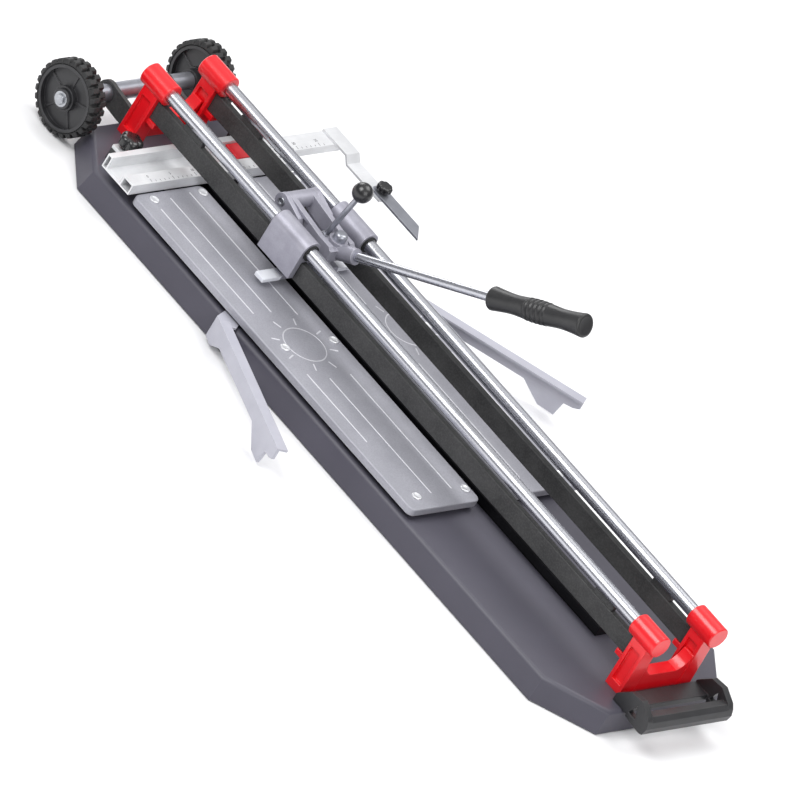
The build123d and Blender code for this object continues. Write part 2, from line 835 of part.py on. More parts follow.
def wheel_rim():
    """Right-hand rim: hub, recessed web and radial ribs."""
    radius = wheel_diameter / 2 - tyre_height
    half = wheel_width / 2
    rim = Cylinder(radius, wheel_width - 2) - Cylinder(radius - 5, wheel_width)
    rim += Cylinder(radius - 4, wheel_width - 2 * wheel_recess)
    rim += Cylinder(hub_diameter / 2, wheel_width)
    for index in range(wheel_ribs):
        rib = Pos(radius / 2, 0, 0) * Box(radius - 4, 3, wheel_width - 2 * wheel_recess + 2 * rib_relief)
        rim += Rot(0, 0, 360 * index / wheel_ribs + 20) * rib
    rim -= Cylinder(axle_diameter / 2 + fit, 2 * half + 2)
    return Pos(wheel_x, wheel_track / 2, wheel_z) * Rot(90, 0, 0) * rim


def axle():
    """Tube through both brackets and both wheels."""
    half = wheel_track / 2 + wheel_width / 2 + seat_gap
    tube = rod_y(-half, half, wheel_x, wheel_z, axle_diameter)
    return tube - rod_y(-half, half, wheel_x, wheel_z, axle_bore)


def axle_cap():
    """Cap that keeps the right-hand wheel on."""
    inner = wheel_track / 2 + wheel_width / 2 + seat_gap
    cap = rod_y(inner, inner + axle_cap_length, wheel_x, wheel_z, axle_cap_diameter)
    cap = fillet(cap.faces().sort_by(Axis.Y)[-1].edges(), 2)
    return cap + rod_y(inner - 14, inner, wheel_x, wheel_z, axle_bore - 2 * fit)


def axle_bracket():
    """Two cheeks and a foot plate that carry the axle behind the far support."""
    back = far_face - post_offset - post_length - 1
    end = -half_length + base_end_draft + 1
    eye = bracket_eye / 2
    body = block(end, back, -bracket_row - bracket_wall, bracket_row + bracket_wall, base_height,
                 base_height + 8)
    for side in (-1, 1):
        ends = sorted((side * bracket_row, side * (bracket_row + bracket_wall)))
        outline = [(back, base_height), (back, base_height + bracket_rise),
                   (wheel_x + 6, wheel_z + eye * 0.95),
                   (wheel_x, wheel_z + eye), (wheel_x, wheel_z - eye), (wheel_x + 8, wheel_z - eye * 0.92),
                   (end - 8, base_height)]
        body += prism_y(outline, *ends)
        body += rod_y(*ends, wheel_x, wheel_z, bracket_eye)
    return body - rod_y(-bracket_row - 20, bracket_row + 20, wheel_x, wheel_z, axle_diameter + 2 * fit)


def axle_spacer():
    """Collar on the axle, on the inner side of the right-hand wheel."""
    end = wheel_track / 2 - wheel_width / 2 - seat_gap
    start = end - spacer_length
    ring = rod_y(start, end, wheel_x, wheel_z, axle_diameter + 8)
    return ring - rod_y(start, end, wheel_x, wheel_z, axle_diameter + 2 * fit)


# ---------------------------------------------------------------- carrying handle
def handle():
    """Carrying handle: low block on the tray, two cheeks and a grip bar with a finger gap behind it."""
    back = near_face + post_offset + post_length + handle_gap
    face = back + handle_block
    front = face + handle_reach
    top = base_height + handle_rise
    low = base_height - handle_drop
    half = handle_span / 2
    bar_back = front - handle_bar
    tray_end = half_length + 4
    nose = [(front - 3, top - 20), (front, base_height + 8), (front - 3, low + 2), (front - 8, low)]
    cheek = [(back, base_height), (back, base_height + handle_heel), (back + 22, top - 3), (back + 46, top),
             (front - 9, top - handle_step + 2), *nose, (bar_back, low), (tray_end, base_height - 3),
             (tray_end, base_height)]
    bar = [(bar_back, base_height + 4), (bar_back, top - handle_step), (front - 10, top - handle_step), *nose,
           (bar_back + 5, low)]
    body = block(back, face, -half, half, base_height, base_height + handle_plate)
    for side in (-1, 1):
        ends = sorted((side * half, side * (half - handle_cheek)))
        body += prism_y(cheek, *ends)
    body += prism_y(bar, -half, half)
    window = [(face + 4, base_height + 6), (bar_back - 4, base_height + 6), (face + 13, top - 12)]
    return body - prism_y(window, -half - 1, half + 1)


# ---------------------------------------------------------------- lateral stop
def stop_x():
    """Front face of the lateral stop."""
    return plate_start - stop_gap


def stop_bar():
    """Extruded stop with a hollow front box, a valley for the ruler, a rear fence and two clamp tabs."""
    front = stop_x()
    box_back = front - stop_box
    valley_back = box_back - stop_valley
    fence_back = valley_back - stop_fence
    top = stop_level + stop_rise
    fence_top = stop_level + stop_fence_rise
    outline = [(front, stop_level), (front, top), (box_back, top), (box_back, stop_level + stop_floor),
               (valley_back, stop_level + stop_floor), (valley_back, fence_top), (fence_back, fence_top),
               (fence_back, stop_level)]
    bar = prism_y(outline, -stop_left, stop_right)
    bar -= block(box_back + stop_wall, front - stop_wall, -stop_left, stop_right, stop_level + stop_wall,
                 top - stop_wall)
    bar -= block(fence_back + stop_wall, valley_back - stop_wall, -stop_left, stop_right,
                 stop_level + stop_wall, fence_top - stop_wall)
    for side in (-1, 1):
        y = side * knob_row
        bar += block(fence_back - stop_flange, fence_back, y - clamp_width / 2, y + clamp_width / 2,
                     stop_level, stop_level + stop_tab)
        bar -= rod_z(stop_level, stop_level + stop_tab, knob_x(), y, knob_stud + 1)
    return bar


def knob_x():
    """Axis of the star knobs."""
    return stop_x() - stop_box - stop_valley - stop_fence - knob_offset


def stop_clamps():
    """Blocks on the tray that the stop is screwed to."""
    start = stop_x() - stop_box - stop_valley - stop_fence - stop_flange
    clamps = []
    for side in (-1, 1):
        y = side * knob_row
        clamp = block(start, stop_x() - 4, y - clamp_width / 2, y + clamp_width / 2, base_height, stop_level)
        clamps.append(clamp - rod_z(base_height + 4, stop_level, knob_x(), y, knob_stud + 2 * fit))
    return clamps


def star_knob():
    """Right-hand star knob with its stud."""
    seat = stop_level + stop_tab + seat_gap
    low = stop_level + knob_lift
    knob = rod_z(seat, low + 4, 0, 0, knob_hub)
    star = Pos(0, 0, low) * extrude(Circle(knob_diameter / 2 - 4), knob_height)
    for index in range(knob_lobes):
        angle = 2 * pi * index / knob_lobes
        reach = knob_diameter / 2 - 5
        star += rod_z(low, low + knob_height, reach * cos(angle), reach * sin(angle), 10)
    cap = rod_z(low, low + knob_height, 0, 0, knob_diameter)
    knob += star & fillet(cap.faces().sort_by(Axis.Z)[-1].edges(), 4)
    knob += rod_z(base_height + 5, seat + 2, 0, 0, knob_stud)
    return Pos(knob_x(), knob_row, 0) * knob


def ruler_section():
    """Back, front, low and top faces of the ruler."""
    back = stop_x() - stop_box - stop_valley + seat_gap
    front = stop_x() - stop_box - seat_gap
    return back, front, stop_level + stop_floor + seat_gap, stop_level + stop_rise + seat_gap


def ruler():
    """Hollow ruler in the valley of the stop."""
    back, front, low, top = ruler_section()
    start = ruler_end - ruler_length + ruler_cap
    bar = block(back, front, start, ruler_end, low, top)
    return bar - block(back + ruler_wall, front - ruler_wall, start, ruler_end, low + ruler_wall,
                       top - ruler_wall)


def ruler_end_cap():
    """Plastic cap on the inner end of the ruler, with a plug inside it."""
    back, front, low, top = ruler_section()
    start = ruler_end - ruler_length
    joint = start + ruler_cap
    cap = block(back, front, start, joint, low, top + 1)
    cap = fillet(cap.faces().sort_by(Axis.Z)[-1].edges(), 0.9)
    inset = ruler_wall + fit
    return cap + block(back + inset, front - inset, joint, joint + cap_plug, low + inset, top - inset)


def square_arm():
    """Flat arm on the ruler end, stepped down to the blade."""
    back = stop_x() - stop_box - stop_valley + seat_gap
    high = stop_level + stop_rise + seat_gap
    low = high - square_step
    outline = [(back, high), (back + square_shoulder, high), (back + square_shoulder + square_ramp, low),
               (back + square_length, low), (back + square_length, low + square_wall),
               (back + square_shoulder + square_ramp + 1.5, low + square_wall),
               (back + square_shoulder + 1.5, high + square_wall), (back, high + square_wall)]
    arm = prism_y(outline, ruler_end - 20, ruler_end - 20 + square_width)
    x, y = square_axis()
    return arm - rod_z(low - 1, low + square_wall + 1, x, y, knob_stud + 2 * fit)


def square_axis():
    """Pivot of the square's blade."""
    return stop_x() - stop_box - stop_valley + seat_gap + square_pivot, ruler_end - 20 + square_width / 2


def blade_low():
    """Lower face of the blade."""
    return stop_level + stop_rise + seat_gap - square_step + square_wall + seat_gap


def square_blade():
    """Swivelling blade on the low end of the square arm, its tip bevelled."""
    x, y = square_axis()
    top = blade_low() + blade_wall
    half = blade_width / 2
    outline = [(x - blade_tail + 5, y - half), (x + blade_length, y - half),
               (x + blade_length - blade_bevel, y + half),
               (x - blade_tail + 5, y + half), (x - blade_tail, y + half - 5), (x - blade_tail, y - half + 5)]
    blade = prism_z(outline, top - blade_wall, top)
    return blade - rod_z(top - blade_wall, top, x, y, knob_stud + 2 * fit)


def square_knob():
    """Clamp knob of the blade, with a stud and a flange under the arm."""
    x, y = square_axis()
    seat = blade_low() + blade_wall + seat_gap
    under = stop_level + stop_rise + seat_gap - square_step - seat_gap
    knob = rod_z(seat, seat + small_knob_height, 0, 0, small_knob - 5)
    for index in range(knob_lobes):
        angle = 2 * pi * index / knob_lobes
        reach = small_knob / 2 - 3.5
        knob += rod_z(seat + 3, seat + small_knob_height, reach * cos(angle), reach * sin(angle), 7)
    knob += rod_z(under - knob_flange_wall, seat + 1, 0, 0, knob_stud)
    knob += rod_z(under - knob_flange_wall, under, 0, 0, 2 * knob_stud)
    return Pos(x, y, 0) * knob


# ---------------------------------------------------------------- side arms
def side_arm(angle):
    """Right-hand arm, swung out by an angle: tongue under the plate, web and top flange climbing to the tip."""
    low = base_height + seat_gap
    tongue_top = low + arm_tongue
    root = arm_heel_start
    climb = (arm_tip_level - tongue_top) / (arm_length - root)

    def top(distance):
        return tongue_top + climb * (distance - root)

    tongue = rod_z(low, tongue_top, 0, 0, arm_eye)
    half_eye = arm_eye / 2
    reach = root + arm_heel_foot
    tongue += prism_z([(-half_eye * 0.7, half_eye * 0.7), (half_eye * 0.7, -half_eye * 0.7), (reach, 4),
                       (reach, arm_offset), (root, arm_offset)], low, tongue_top)
    toe = arm_length - arm_toe_back
    toe_foot = arm_length - 2 * arm_toe_foot
    run = root + arm_heel_run
    notch = arm_length - 26
    web = [(root, arm_reach), (root, tongue_top), (arm_length, arm_tip_level),
           (arm_length, arm_tip_level - arm_depth + 5), (arm_length - 10, arm_tip_level - arm_depth),
           (notch, arm_tip_level - arm_depth - 2), (notch - 5, arm_reach), (toe_foot, arm_reach),
           (toe, top(toe) - arm_depth), (run, top(run) - arm_depth), (root + arm_heel_foot, arm_reach)]
    arm = tongue + prism_y(web, arm_offset - arm_web, arm_offset)
    start = root + arm_heel_foot / 2
    flange = [(start, top(start) - arm_flange_wall), (start, top(start)), (arm_length, arm_tip_level),
              (arm_length, arm_tip_level - arm_flange_wall)]
    arm += prism_y(flange, arm_offset - arm_flange, arm_offset)
    arm -= rod_z(low - 1, tongue_top + 1, 0, 0, arm_pin + 2 * fit)
    return Pos(arm_pivot_x, arm_pivot_y, 0) * Rot(0, 0, angle) * arm


def arm_pin_bar():
    """Right-hand arm pivot, headed under the tray top."""
    roof = base_height - base_wall
    top = base_height + seat_gap + arm_tongue
    pin = rod_z(roof, top, arm_pivot_x, arm_pivot_y, arm_pin)
    return pin + rod_z(roof - arm_pin_head_height, roof, arm_pivot_x, arm_pivot_y, arm_pin_head)


def pair(name, shape):
    """Write a right-hand shape and its left-hand mirror image."""
    shapes = shape if isinstance(shape, list) else [shape]
    save(f"right_{name}", *shapes)
    save(f"left_{name}", *[other_side(item) for item in shapes])


os.makedirs("parts", exist_ok=True)

save("base_tray", base_tray())
save("rubber_feet", *rubber_feet())
save("breaking_bar", breaking_bar())
save("breaking_strip", breaking_strip())
save("near_support", support(near_face, 1))
save("far_support", support(far_face, -1))
save("support_bolts", *support_bolts())
save("plate_guide_pins", *guide_pins())
save("carriage", carriage())
save("rail_bushes", *rail_bushes())
save("rail_wipers", *rail_wipers())
save("lever_hinge_pin", hinge_pin_bar())
save("lever_bracket", lever_bracket())
save("lever_rod", lever_rod())
save("lever_grip", lever_grip())
save("scoring_holder", scoring_holder())
save("cap_nut", cap_nut())
save("scoring_wheel", scoring_wheel())
save("scoring_pin", scoring_pin())
save("ball_stick", ball_stick_bar())
save("ball_knob", ball_knob())
save("ball_pivot_pin", ball_pivot_pin())
save("breaker_foot", breaker_foot())
save("breaker_pads", *breaker_pads())
save("axle", axle())
save("axle_bracket", axle_bracket())
save("handle", handle())
save("stop_bar", stop_bar())
save("stop_clamps", *stop_clamps())
save("ruler", ruler())
save("ruler_cap", ruler_end_cap())
save("square_arm", square_arm())
save("square_blade", square_blade())
save("square_knob", square_knob())

pair("guide_rail", guide_rail())
pair("beam", beam())
pair("rail_saddles", saddles())
pair("plate", tile_plate())
pair("plate_studs", plate_studs())
pair("plate_buffers", plate_buffers())
pair("tyre", tyre())
pair("wheel_rim", wheel_rim())
pair("axle_cap", axle_cap())
pair("axle_spacer", axle_spacer())
pair("star_knob", star_knob())
save("right_side_arm", side_arm(right_arm_angle))
save("left_side_arm", other_side(side_arm(left_arm_angle)))
pair("arm_pin", arm_pin_bar())
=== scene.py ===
"""Looks of a manual tile cutter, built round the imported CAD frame.

Sub-assemblies are classes that keep their own sizes, build their meshes and dress them. Lengths in
the dataclass fields are millimetres, and MM turns them into Blender's metres.
"""
import json
import logging
import math
from dataclasses import dataclass, field
from enum import Enum
from typing import Callable, Iterable, Optional, Sequence

import bmesh
import bpy
from mathutils import Matrix, Vector


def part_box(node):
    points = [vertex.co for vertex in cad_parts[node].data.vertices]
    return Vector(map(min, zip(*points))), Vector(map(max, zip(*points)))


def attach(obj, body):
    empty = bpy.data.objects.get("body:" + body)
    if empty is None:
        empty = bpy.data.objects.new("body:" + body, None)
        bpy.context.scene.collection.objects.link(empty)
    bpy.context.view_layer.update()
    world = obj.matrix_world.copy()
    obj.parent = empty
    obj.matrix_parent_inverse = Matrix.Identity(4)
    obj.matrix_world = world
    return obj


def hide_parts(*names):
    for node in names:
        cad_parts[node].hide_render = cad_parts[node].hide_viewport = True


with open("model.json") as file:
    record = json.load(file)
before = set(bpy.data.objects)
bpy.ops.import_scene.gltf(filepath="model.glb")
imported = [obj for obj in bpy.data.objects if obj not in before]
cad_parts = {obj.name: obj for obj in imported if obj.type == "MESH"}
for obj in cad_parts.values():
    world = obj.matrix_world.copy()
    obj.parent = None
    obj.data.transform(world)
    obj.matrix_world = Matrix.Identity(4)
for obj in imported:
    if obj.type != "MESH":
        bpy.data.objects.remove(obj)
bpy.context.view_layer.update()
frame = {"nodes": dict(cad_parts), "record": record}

MM = 0.001
SIDES = ("left", "right")
LOG = logging.getLogger("tile_cutter")

Place = tuple[float, float, float]

COAT_ROUGHNESS = 0.12
# Pale grey that upward faces are lightened towards: painted light from above.
PAINTED_TOP_LIGHT_COLOUR = "b9bac2"


# ---------------------------------------------------------------- shading
class Grain(Enum):
    """How a surface's fine relief runs."""

    EVEN = (1.0, 1.0, 1.0)
    ALONG_X = (0.03, 1.0, 1.0)
    ALONG_Y = (1.0, 0.03, 1.0)


def linear(code: str) -> tuple[float, float, float, float]:
    """Turn an sRGB hex code into a linear colour.

    Args:
        code: Six hex digits, with or without a leading hash.

    Returns:
        Red, green, blue and alpha.
    """
    code = code.lstrip("#")
    parts = [int(code[i:i + 2], 16) / 255 for i in (0, 2, 4)]
    channels = [c / 12.92 if c <= 0.04045 else ((c + 0.055) / 1.055) ** 2.4 for c in parts]
    return (*channels, 1.0)


def add_node(tree: bpy.types.NodeTree, kind: str, settings: Optional[dict] = None,
             values: Optional[dict] = None, links: Optional[dict] = None) -> bpy.types.Node:
    """Add one shader node with its settings and links.

    Args:
        tree: Tree that gets the node.
        kind: Blender's type name.
        settings: Attributes of the node.
        values: Socket values by socket name or number.
        links: Output sockets to connect, by the name or number of this node's input.

    Returns:
        The new node.
    """
    made = tree.nodes.new(kind)
    for name, value in (settings or {}).items():
        setattr(made, name, value)
    for socket, value in (values or {}).items():
        made.inputs[socket].default_value = value
    for socket, source in (links or {}).items():
        tree.links.new(source, made.inputs[socket])
    return made


@dataclass(frozen=True)
class Finish:
    """A real finish: its colours, gloss and fine relief, with a painted highlight along its edges that partly
    stands for edge wear and painted light from above on its upward faces.
    """

    name: str
    colour: str
    second: str
    patch_mm: float = 40.0      # size of the slow colour drift
    patch_share: float = 0.5    # how far the drift goes towards the second colour
    metallic: float = 0.0
    ior: float = 1.5
    roughness: float = 0.5
    rough_spread: float = 0.08
    grain_mm: float = 1.2
    grain_depth_mm: float = 0.05
    grain: Grain = Grain.EVEN
    speckle: float = 0.0        # share of the grain that shows as colour
    coat: float = 0.0
    edge_mm: float = 1.0
    # Edge colour and share: a painted highlight along the edges, partly standing for edge wear.
    edge_highlight_and_wear_colour: str = ""
    edge_highlight_and_wear_share: float = 0.0
    # Share of painted light from above on upward faces.
    painted_top_light: float = 0.0

    def material(self) -> bpy.types.Material:
        """Build the material, or return the one already built."""
        known = bpy.data.materials.get(self.name)
        if known:
            return known
        made = bpy.data.materials.new(self.name)
        made.use_nodes = True
        tree = made.node_tree
        shader = tree.nodes["Principled BSDF"]
        shader.inputs["Metallic"].default_value = self.metallic
        shader.inputs["Coat Weight"].default_value = self.coat
        shader.inputs["Coat Roughness"].default_value = COAT_ROUGHNESS
        if not self.metallic:
            shader.inputs["IOR"].default_value = self.ior
        place = add_node(tree, "ShaderNodeTexCoord").outputs["Object"]
        stretched = add_node(tree, "ShaderNodeMapping", values={"Scale": self.grain.value}, links={0: place})
        patches = add_node(tree, "ShaderNodeTexNoise", values={"Scale": 1 / (self.patch_mm * MM),
                                                                       "Detail": 3.0,
                                                               "Roughness": 0.55}, links={"Vector": place})
        fine = add_node(tree, "ShaderNodeTexNoise", values={"Scale": 1 / (self.grain_mm * MM), "Detail": 4.0,
                                                            "Roughness": 0.6},
                        links={"Vector": stretched.outputs[0]})
        spread = add_node(tree, "ShaderNodeMapRange",
                          values={"From Min": 0.35, "From Max": 0.65, "To Max": self.patch_share},
                          links={0: patches.outputs[0]})
        base = add_node(tree, "ShaderNodeMix", {"data_type": "RGBA"},
                        {6: linear(self.colour), 7: linear(self.second)}, {0: spread.outputs[0]}).outputs[2]
        if self.speckle:
            dots = add_node(tree, "ShaderNodeMapRange",
                            values={"From Min": 0.42, "From Max": 0.68, "To Max": self.speckle},
                            links={0: fine.outputs[0]})
            base = add_node(tree, "ShaderNodeMix", {"data_type": "RGBA"}, {7: linear(self.second)},
                            {0: dots.outputs[0], 6: base}).outputs[2]
        soft = add_node(tree, "ShaderNodeBevel", {"samples": 6}, {"Radius": self.edge_mm * MM})
        # Painted highlight: edges lightened towards the edge colour, broken up by the patches; it partly
        # stands for edge wear.
        if self.edge_highlight_and_wear_share:
            true = add_node(tree, "ShaderNodeNewGeometry")
            turn = add_node(tree, "ShaderNodeVectorMath", {"operation": "DOT_PRODUCT"},
                            links={0: soft.outputs[0], 1: true.outputs["Normal"]})
            edge_highlight_and_wear = add_node(tree, "ShaderNodeMapRange",
                            values={"From Min": 0.985, "From Max": 0.86, "To Max": self.edge_highlight_and_wear_share},
                            links={0: turn.outputs["Value"]})
            broken_edge_highlight_and_wear = add_node(tree, "ShaderNodeMath", {"operation": "MULTIPLY"},
                              links={0: edge_highlight_and_wear.outputs[0], 1: patches.outputs[0]})
            base = add_node(tree, "ShaderNodeMix", {"data_type": "RGBA"}, {7: linear(self.edge_highlight_and_wear_colour)},
                            {0: broken_edge_highlight_and_wear.outputs[0], 6: base}).outputs[2]
        # Painted light from above: upward faces lightened towards a pale grey.
        if self.painted_top_light:
            facing = add_node(tree, "ShaderNodeSeparateXYZ",
                              links={0: add_node(tree, "ShaderNodeNewGeometry").outputs["Normal"]})
            painted_top_light_share = add_node(tree, "ShaderNodeMath", {"operation": "MULTIPLY"}, {1: self.painted_top_light},
                             {0: facing.outputs[2]})
            base = add_node(tree, "ShaderNodeMix", {"data_type": "RGBA", "clamp_factor": True},
                            {7: linear(PAINTED_TOP_LIGHT_COLOUR)}, {0: painted_top_light_share.outputs[0], 6: base}).outputs[2]
        gloss = add_node(tree, "ShaderNodeMapRange",
                         values={"To Min": max(0.02, self.roughness - self.rough_spread),
                                 "To Max": self.roughness + self.rough_spread}, links={0: fine.outputs[0]})
        relief = add_node(tree, "ShaderNodeBump",
                          values={"Strength": 1.0, "Distance": self.grain_depth_mm * MM},
                          links={"Height": fine.outputs[0], "Normal": soft.outputs[0]})
        tree.links.new(base, shader.inputs["Base Color"])
        tree.links.new(gloss.outputs[0], shader.inputs["Roughness"])
        tree.links.new(relief.outputs[0], shader.inputs["Normal"])
        return made


# Finishes with an edge colour get a painted highlight along their edges, partly standing for edge wear; those
# with painted top light get lighter upward faces.
# Polyester powder coat, baked: slate grey with a fine orange peel and a soft satin sheen.
TRAY_PAINT = Finish("slate_powder_coat", "#42404b", "#4a4854", 120, 0.6, 0, 1.5, 0.45, 0.06, 1.8, 0.03,
                    speckle=0.2, edge_mm=2.5, edge_highlight_and_wear_colour="#83828e", edge_highlight_and_wear_share=0.6, painted_top_light=0.04)
# Moulded nitrile rubber: dull black, slightly greyed.
FOOT_RUBBER = Finish("moulded_rubber", "#1b1b1c", "#2a2a2b", 25, 0.5, 0, 1.52, 0.72, 0.06, 0.8, 0.04)
# Black anodised extrusion, drawn lengthwise: dark with faint streaks.
BAR_ANODISED = Finish("black_anodised_aluminium", "#202022", "#2c2c30", 60, 0.5, 0.75, 1.5, 0.42, 0.08,
                      1.5, 0.015, Grain.ALONG_X, 0.25, edge_mm=1.2, edge_highlight_and_wear_colour="#8a8a90", edge_highlight_and_wear_share=0.5)
# Ground spring steel: fine cross grinding, bright.
STRIP_STEEL = Finish("ground_steel", "#a9abb0", "#8d9096", 50, 0.4, 1, 1.5, 0.3, 0.07, 0.9, 0.01,
                     Grain.ALONG_X, 0.2)
# Gloss stove enamel over die-cast aluminium: deep clear red with a soft cast waviness under it.
RED_ENAMEL = Finish("red_stove_enamel", "#ee1320", "#d40c16", 60, 0.5, 0, 1.5, 0.3, 0.04, 6.0, 0.06,
                    coat=0.4, edge_mm=1.8, edge_highlight_and_wear_colour="#f2433f", edge_highlight_and_wear_share=0.4)
# Bright zinc plate on cold-headed steel: cool grey, faintly cloudy.
BOLT_STEEL = Finish("zinc_plated_bolt", "#b4b6ba", "#94979d", 9, 0.6, 1, 1.5, 0.32, 0.08, 1.0, 0.015)
# Hard chrome on ground rod: satin bright and even.
RAIL_CHROME = Finish("hard_chrome", "#c9cad0", "#b9bbc3", 80, 0.4, 1, 1.5, 0.27, 0.02, 2.5, 0.0,
                     Grain.ALONG_X, edge_mm=0.8)
# Textured black powder coat on steel flat: sandy, matte, catches small sparkles.
BEAM_PAINT = Finish("textured_black_powder_coat", "#2e2e2f", "#555555", 50, 0.3, 0, 1.5, 0.62, 0.08, 2.6,
                    0.12, speckle=0.45, edge_mm=1.2, edge_highlight_and_wear_colour="#66666a", edge_highlight_and_wear_share=0.5)
# Stamped aluminium plate, tumbled: satin with a cloudy, faintly mottled bloom.
PLATE_ALUMINIUM = Finish("tumbled_aluminium", "#a6a6ae", "#8d8d95", 55, 0.4, 0.3, 1.5, 0.5, 0.06, 2.4,
                         0.08, speckle=0.55, edge_mm=1.6, edge_highlight_and_wear_colour="#f2f3f6", edge_highlight_and_wear_share=0.9,
                         painted_top_light=0.04)
# The same plate aluminium, made brighter on the raised beads: a painted highlight along the beads.
HIGHLIGHT_BEAD_ALUMINIUM = Finish("bead_aluminium_painted_highlight", "#d9d9df", "#c6c6cd", 30, 0.4, 0.3, 1.5, 0.35, 0.05,
                             1.5, 0.02)
# Stainless button heads, satin turned.
STUD_STEEL = Finish("satin_stainless", "#e6e7ea", "#d2d3d8", 8, 0.5, 0.5, 1.5, 0.3, 0.06, 0.8, 0.01)
# Shot-blasted aluminium casting: pale lilac grey, evenly matt.
CAST_ALUMINIUM = Finish("shot_blasted_aluminium", "#a9a8b3", "#8f8e9a", 30, 0.6, 0.4, 1.5, 0.42, 0.06,
                        1.8, 0.09, speckle=0.35, edge_mm=1.6, edge_highlight_and_wear_colour="#eeeef4", edge_highlight_and_wear_share=0.6,
                        painted_top_light=0.03)
# Sintered bronze bush, oil dark.
BUSH_BRONZE = Finish("sintered_bronze", "#8a6a42", "#6e5334", 6, 0.5, 1, 1.5, 0.4, 0.08, 0.7, 0.02)
# Thermoplastic rubber, moulded with a fine spark-eroded grain.
GRIP_RUBBER = Finish("thermoplastic_rubber", "#232324", "#303031", 20, 0.5, 0, 1.5, 0.36, 0.06, 0.9, 0.04,
                     speckle=0.1, edge_mm=0.8)
# Hardened tool steel, ground and blued a little.
HARD_STEEL = Finish("hardened_tool_steel", "#6f7176", "#595b61", 7, 0.5, 1, 1.5, 0.3, 0.06, 0.7, 0.01)
# Phenolic resin, gloss moulded: near black with a clean highlight.
BALL_PLASTIC = Finish("phenolic_resin", "#101012", "#19191c", 18, 0.4, 0, 1.6, 0.28, 0.04, 1.5, 0.01,
                      coat=0.2)
# White acetal, machined smooth.
WHITE_PLASTIC = Finish("white_acetal", "#eef0f6", "#e0e2ea", 15, 0.5, 0, 1.48, 0.38, 0.05, 1.0, 0.01,
                       edge_mm=1.2)
# Solid rubber tyre: matt, with its edges and hollows lightened along the bevel: a painted highlight, partly
# standing for dust in the hollows.
TYRE_RUBBER = Finish("solid_tyre_rubber", "#1b1b1c", "#29292a", 22, 0.6, 0, 1.52, 0.6, 0.08, 1.3, 0.08,
                     speckle=0.15, edge_mm=0.9, edge_highlight_and_wear_colour="#3f3f41", edge_highlight_and_wear_share=0.4)
# Glass-filled nylon, moulded: charcoal, fine leathery grain.
BLACK_PLASTIC = Finish("glass_filled_nylon", "#232325", "#303033", 35, 0.5, 0, 1.53, 0.42, 0.07, 1.3,
                       0.05, speckle=0.12, edge_mm=1.4, edge_highlight_and_wear_colour="#5a5a5d", edge_highlight_and_wear_share=0.5)
# Moulded red polypropylene cap.
RED_PLASTIC = Finish("red_polypropylene", "#d7202c", "#c51824", 20, 0.5, 0, 1.49, 0.38, 0.06, 1.1, 0.02,
                     edge_mm=1.0)
# Bright zinc plate on turned or pressed steel: satin, a shade warmer than chrome.
ZINC_STEEL = Finish("zinc_plated_steel", "#a9abb3", "#92949d", 25, 0.5, 0.8, 1.5, 0.32, 0.07, 1.0, 0.012,
                    edge_mm=0.8)
# Natural anodised extrusion: silky, streaked along its length.
EXTRUDED_ALUMINIUM = Finish("anodised_extrusion", "#e0e1e3", "#c4c5c7", 40, 0.5, 0.25, 1.5, 0.38, 0.07,
                            1.4, 0.02, Grain.ALONG_Y, 0.22, edge_mm=0.9, edge_highlight_and_wear_colour="#f0f0f2",
                            edge_highlight_and_wear_share=0.7, painted_top_light=0.03)
# Pale stoved paint on the cast arms: near white grey with a slight orange peel.
ARM_CASTING = Finish("pale_grey_stove_paint", "#b2b2bc", "#a2a2ad", 40, 0.5, 0, 1.5, 0.4, 0.05, 1.8, 0.03,
                     speckle=0.06, edge_mm=1.6, edge_highlight_and_wear_colour="#f2f2f8", edge_highlight_and_wear_share=0.5)
# Screen-printed ink of the scales: flat and dense.
SCALE_INK = Finish("screen_print_ink", "#3b3b40", "#4a4a50", 10, 0.5, 0, 1.5, 0.55, 0.05, 0.8, 0.005,
                   edge_mm=0.2)

FINISHES: dict[str, Finish] = {
    "tray_paint": TRAY_PAINT, "foot_rubber": FOOT_RUBBER, "bar_anodised": BAR_ANODISED,
    "strip_steel": STRIP_STEEL,
    "red_enamel": RED_ENAMEL, "bolt_steel": BOLT_STEEL, "rail_chrome": RAIL_CHROME, "beam_paint": BEAM_PAINT,
    "plate_aluminium": PLATE_ALUMINIUM, "stud_steel": STUD_STEEL, "buffer_rubber": FOOT_RUBBER,
    "cast_aluminium": CAST_ALUMINIUM, "bush_bronze": BUSH_BRONZE, "grip_rubber": GRIP_RUBBER,
    "hard_steel": HARD_STEEL, "ball_plastic": BALL_PLASTIC, "white_plastic": WHITE_PLASTIC,
    "tyre_rubber": TYRE_RUBBER, "black_plastic": BLACK_PLASTIC, "red_plastic": RED_PLASTIC,
    "zinc_steel": ZINC_STEEL, "extruded_aluminium": EXTRUDED_ALUMINIUM, "arm_casting": ARM_CASTING,
}
SLOT_OF = {row["node"]: row["material_slot"] for row in frame["record"]["subparts"]}
BODY_OF = {node: body for body, nodes in frame["record"]["behaviour"]["bodies"].items() for node in nodes}


def dress(piece: bpy.types.Object, finish: Finish) -> None:
    """Put a finish on every material slot of a piece."""
    if not piece.material_slots:
        piece.data.materials.append(finish.material())
    for held in piece.material_slots:
        held.link = "OBJECT"
        held.material = finish.material()


# ---------------------------------------------------------------- meshes
class Outline(Enum):
    """Cross-section of a turned or lobed ring."""

    ROUND = "round"
    LOBED = "lobed"
    HEXAGON = "hexagon"


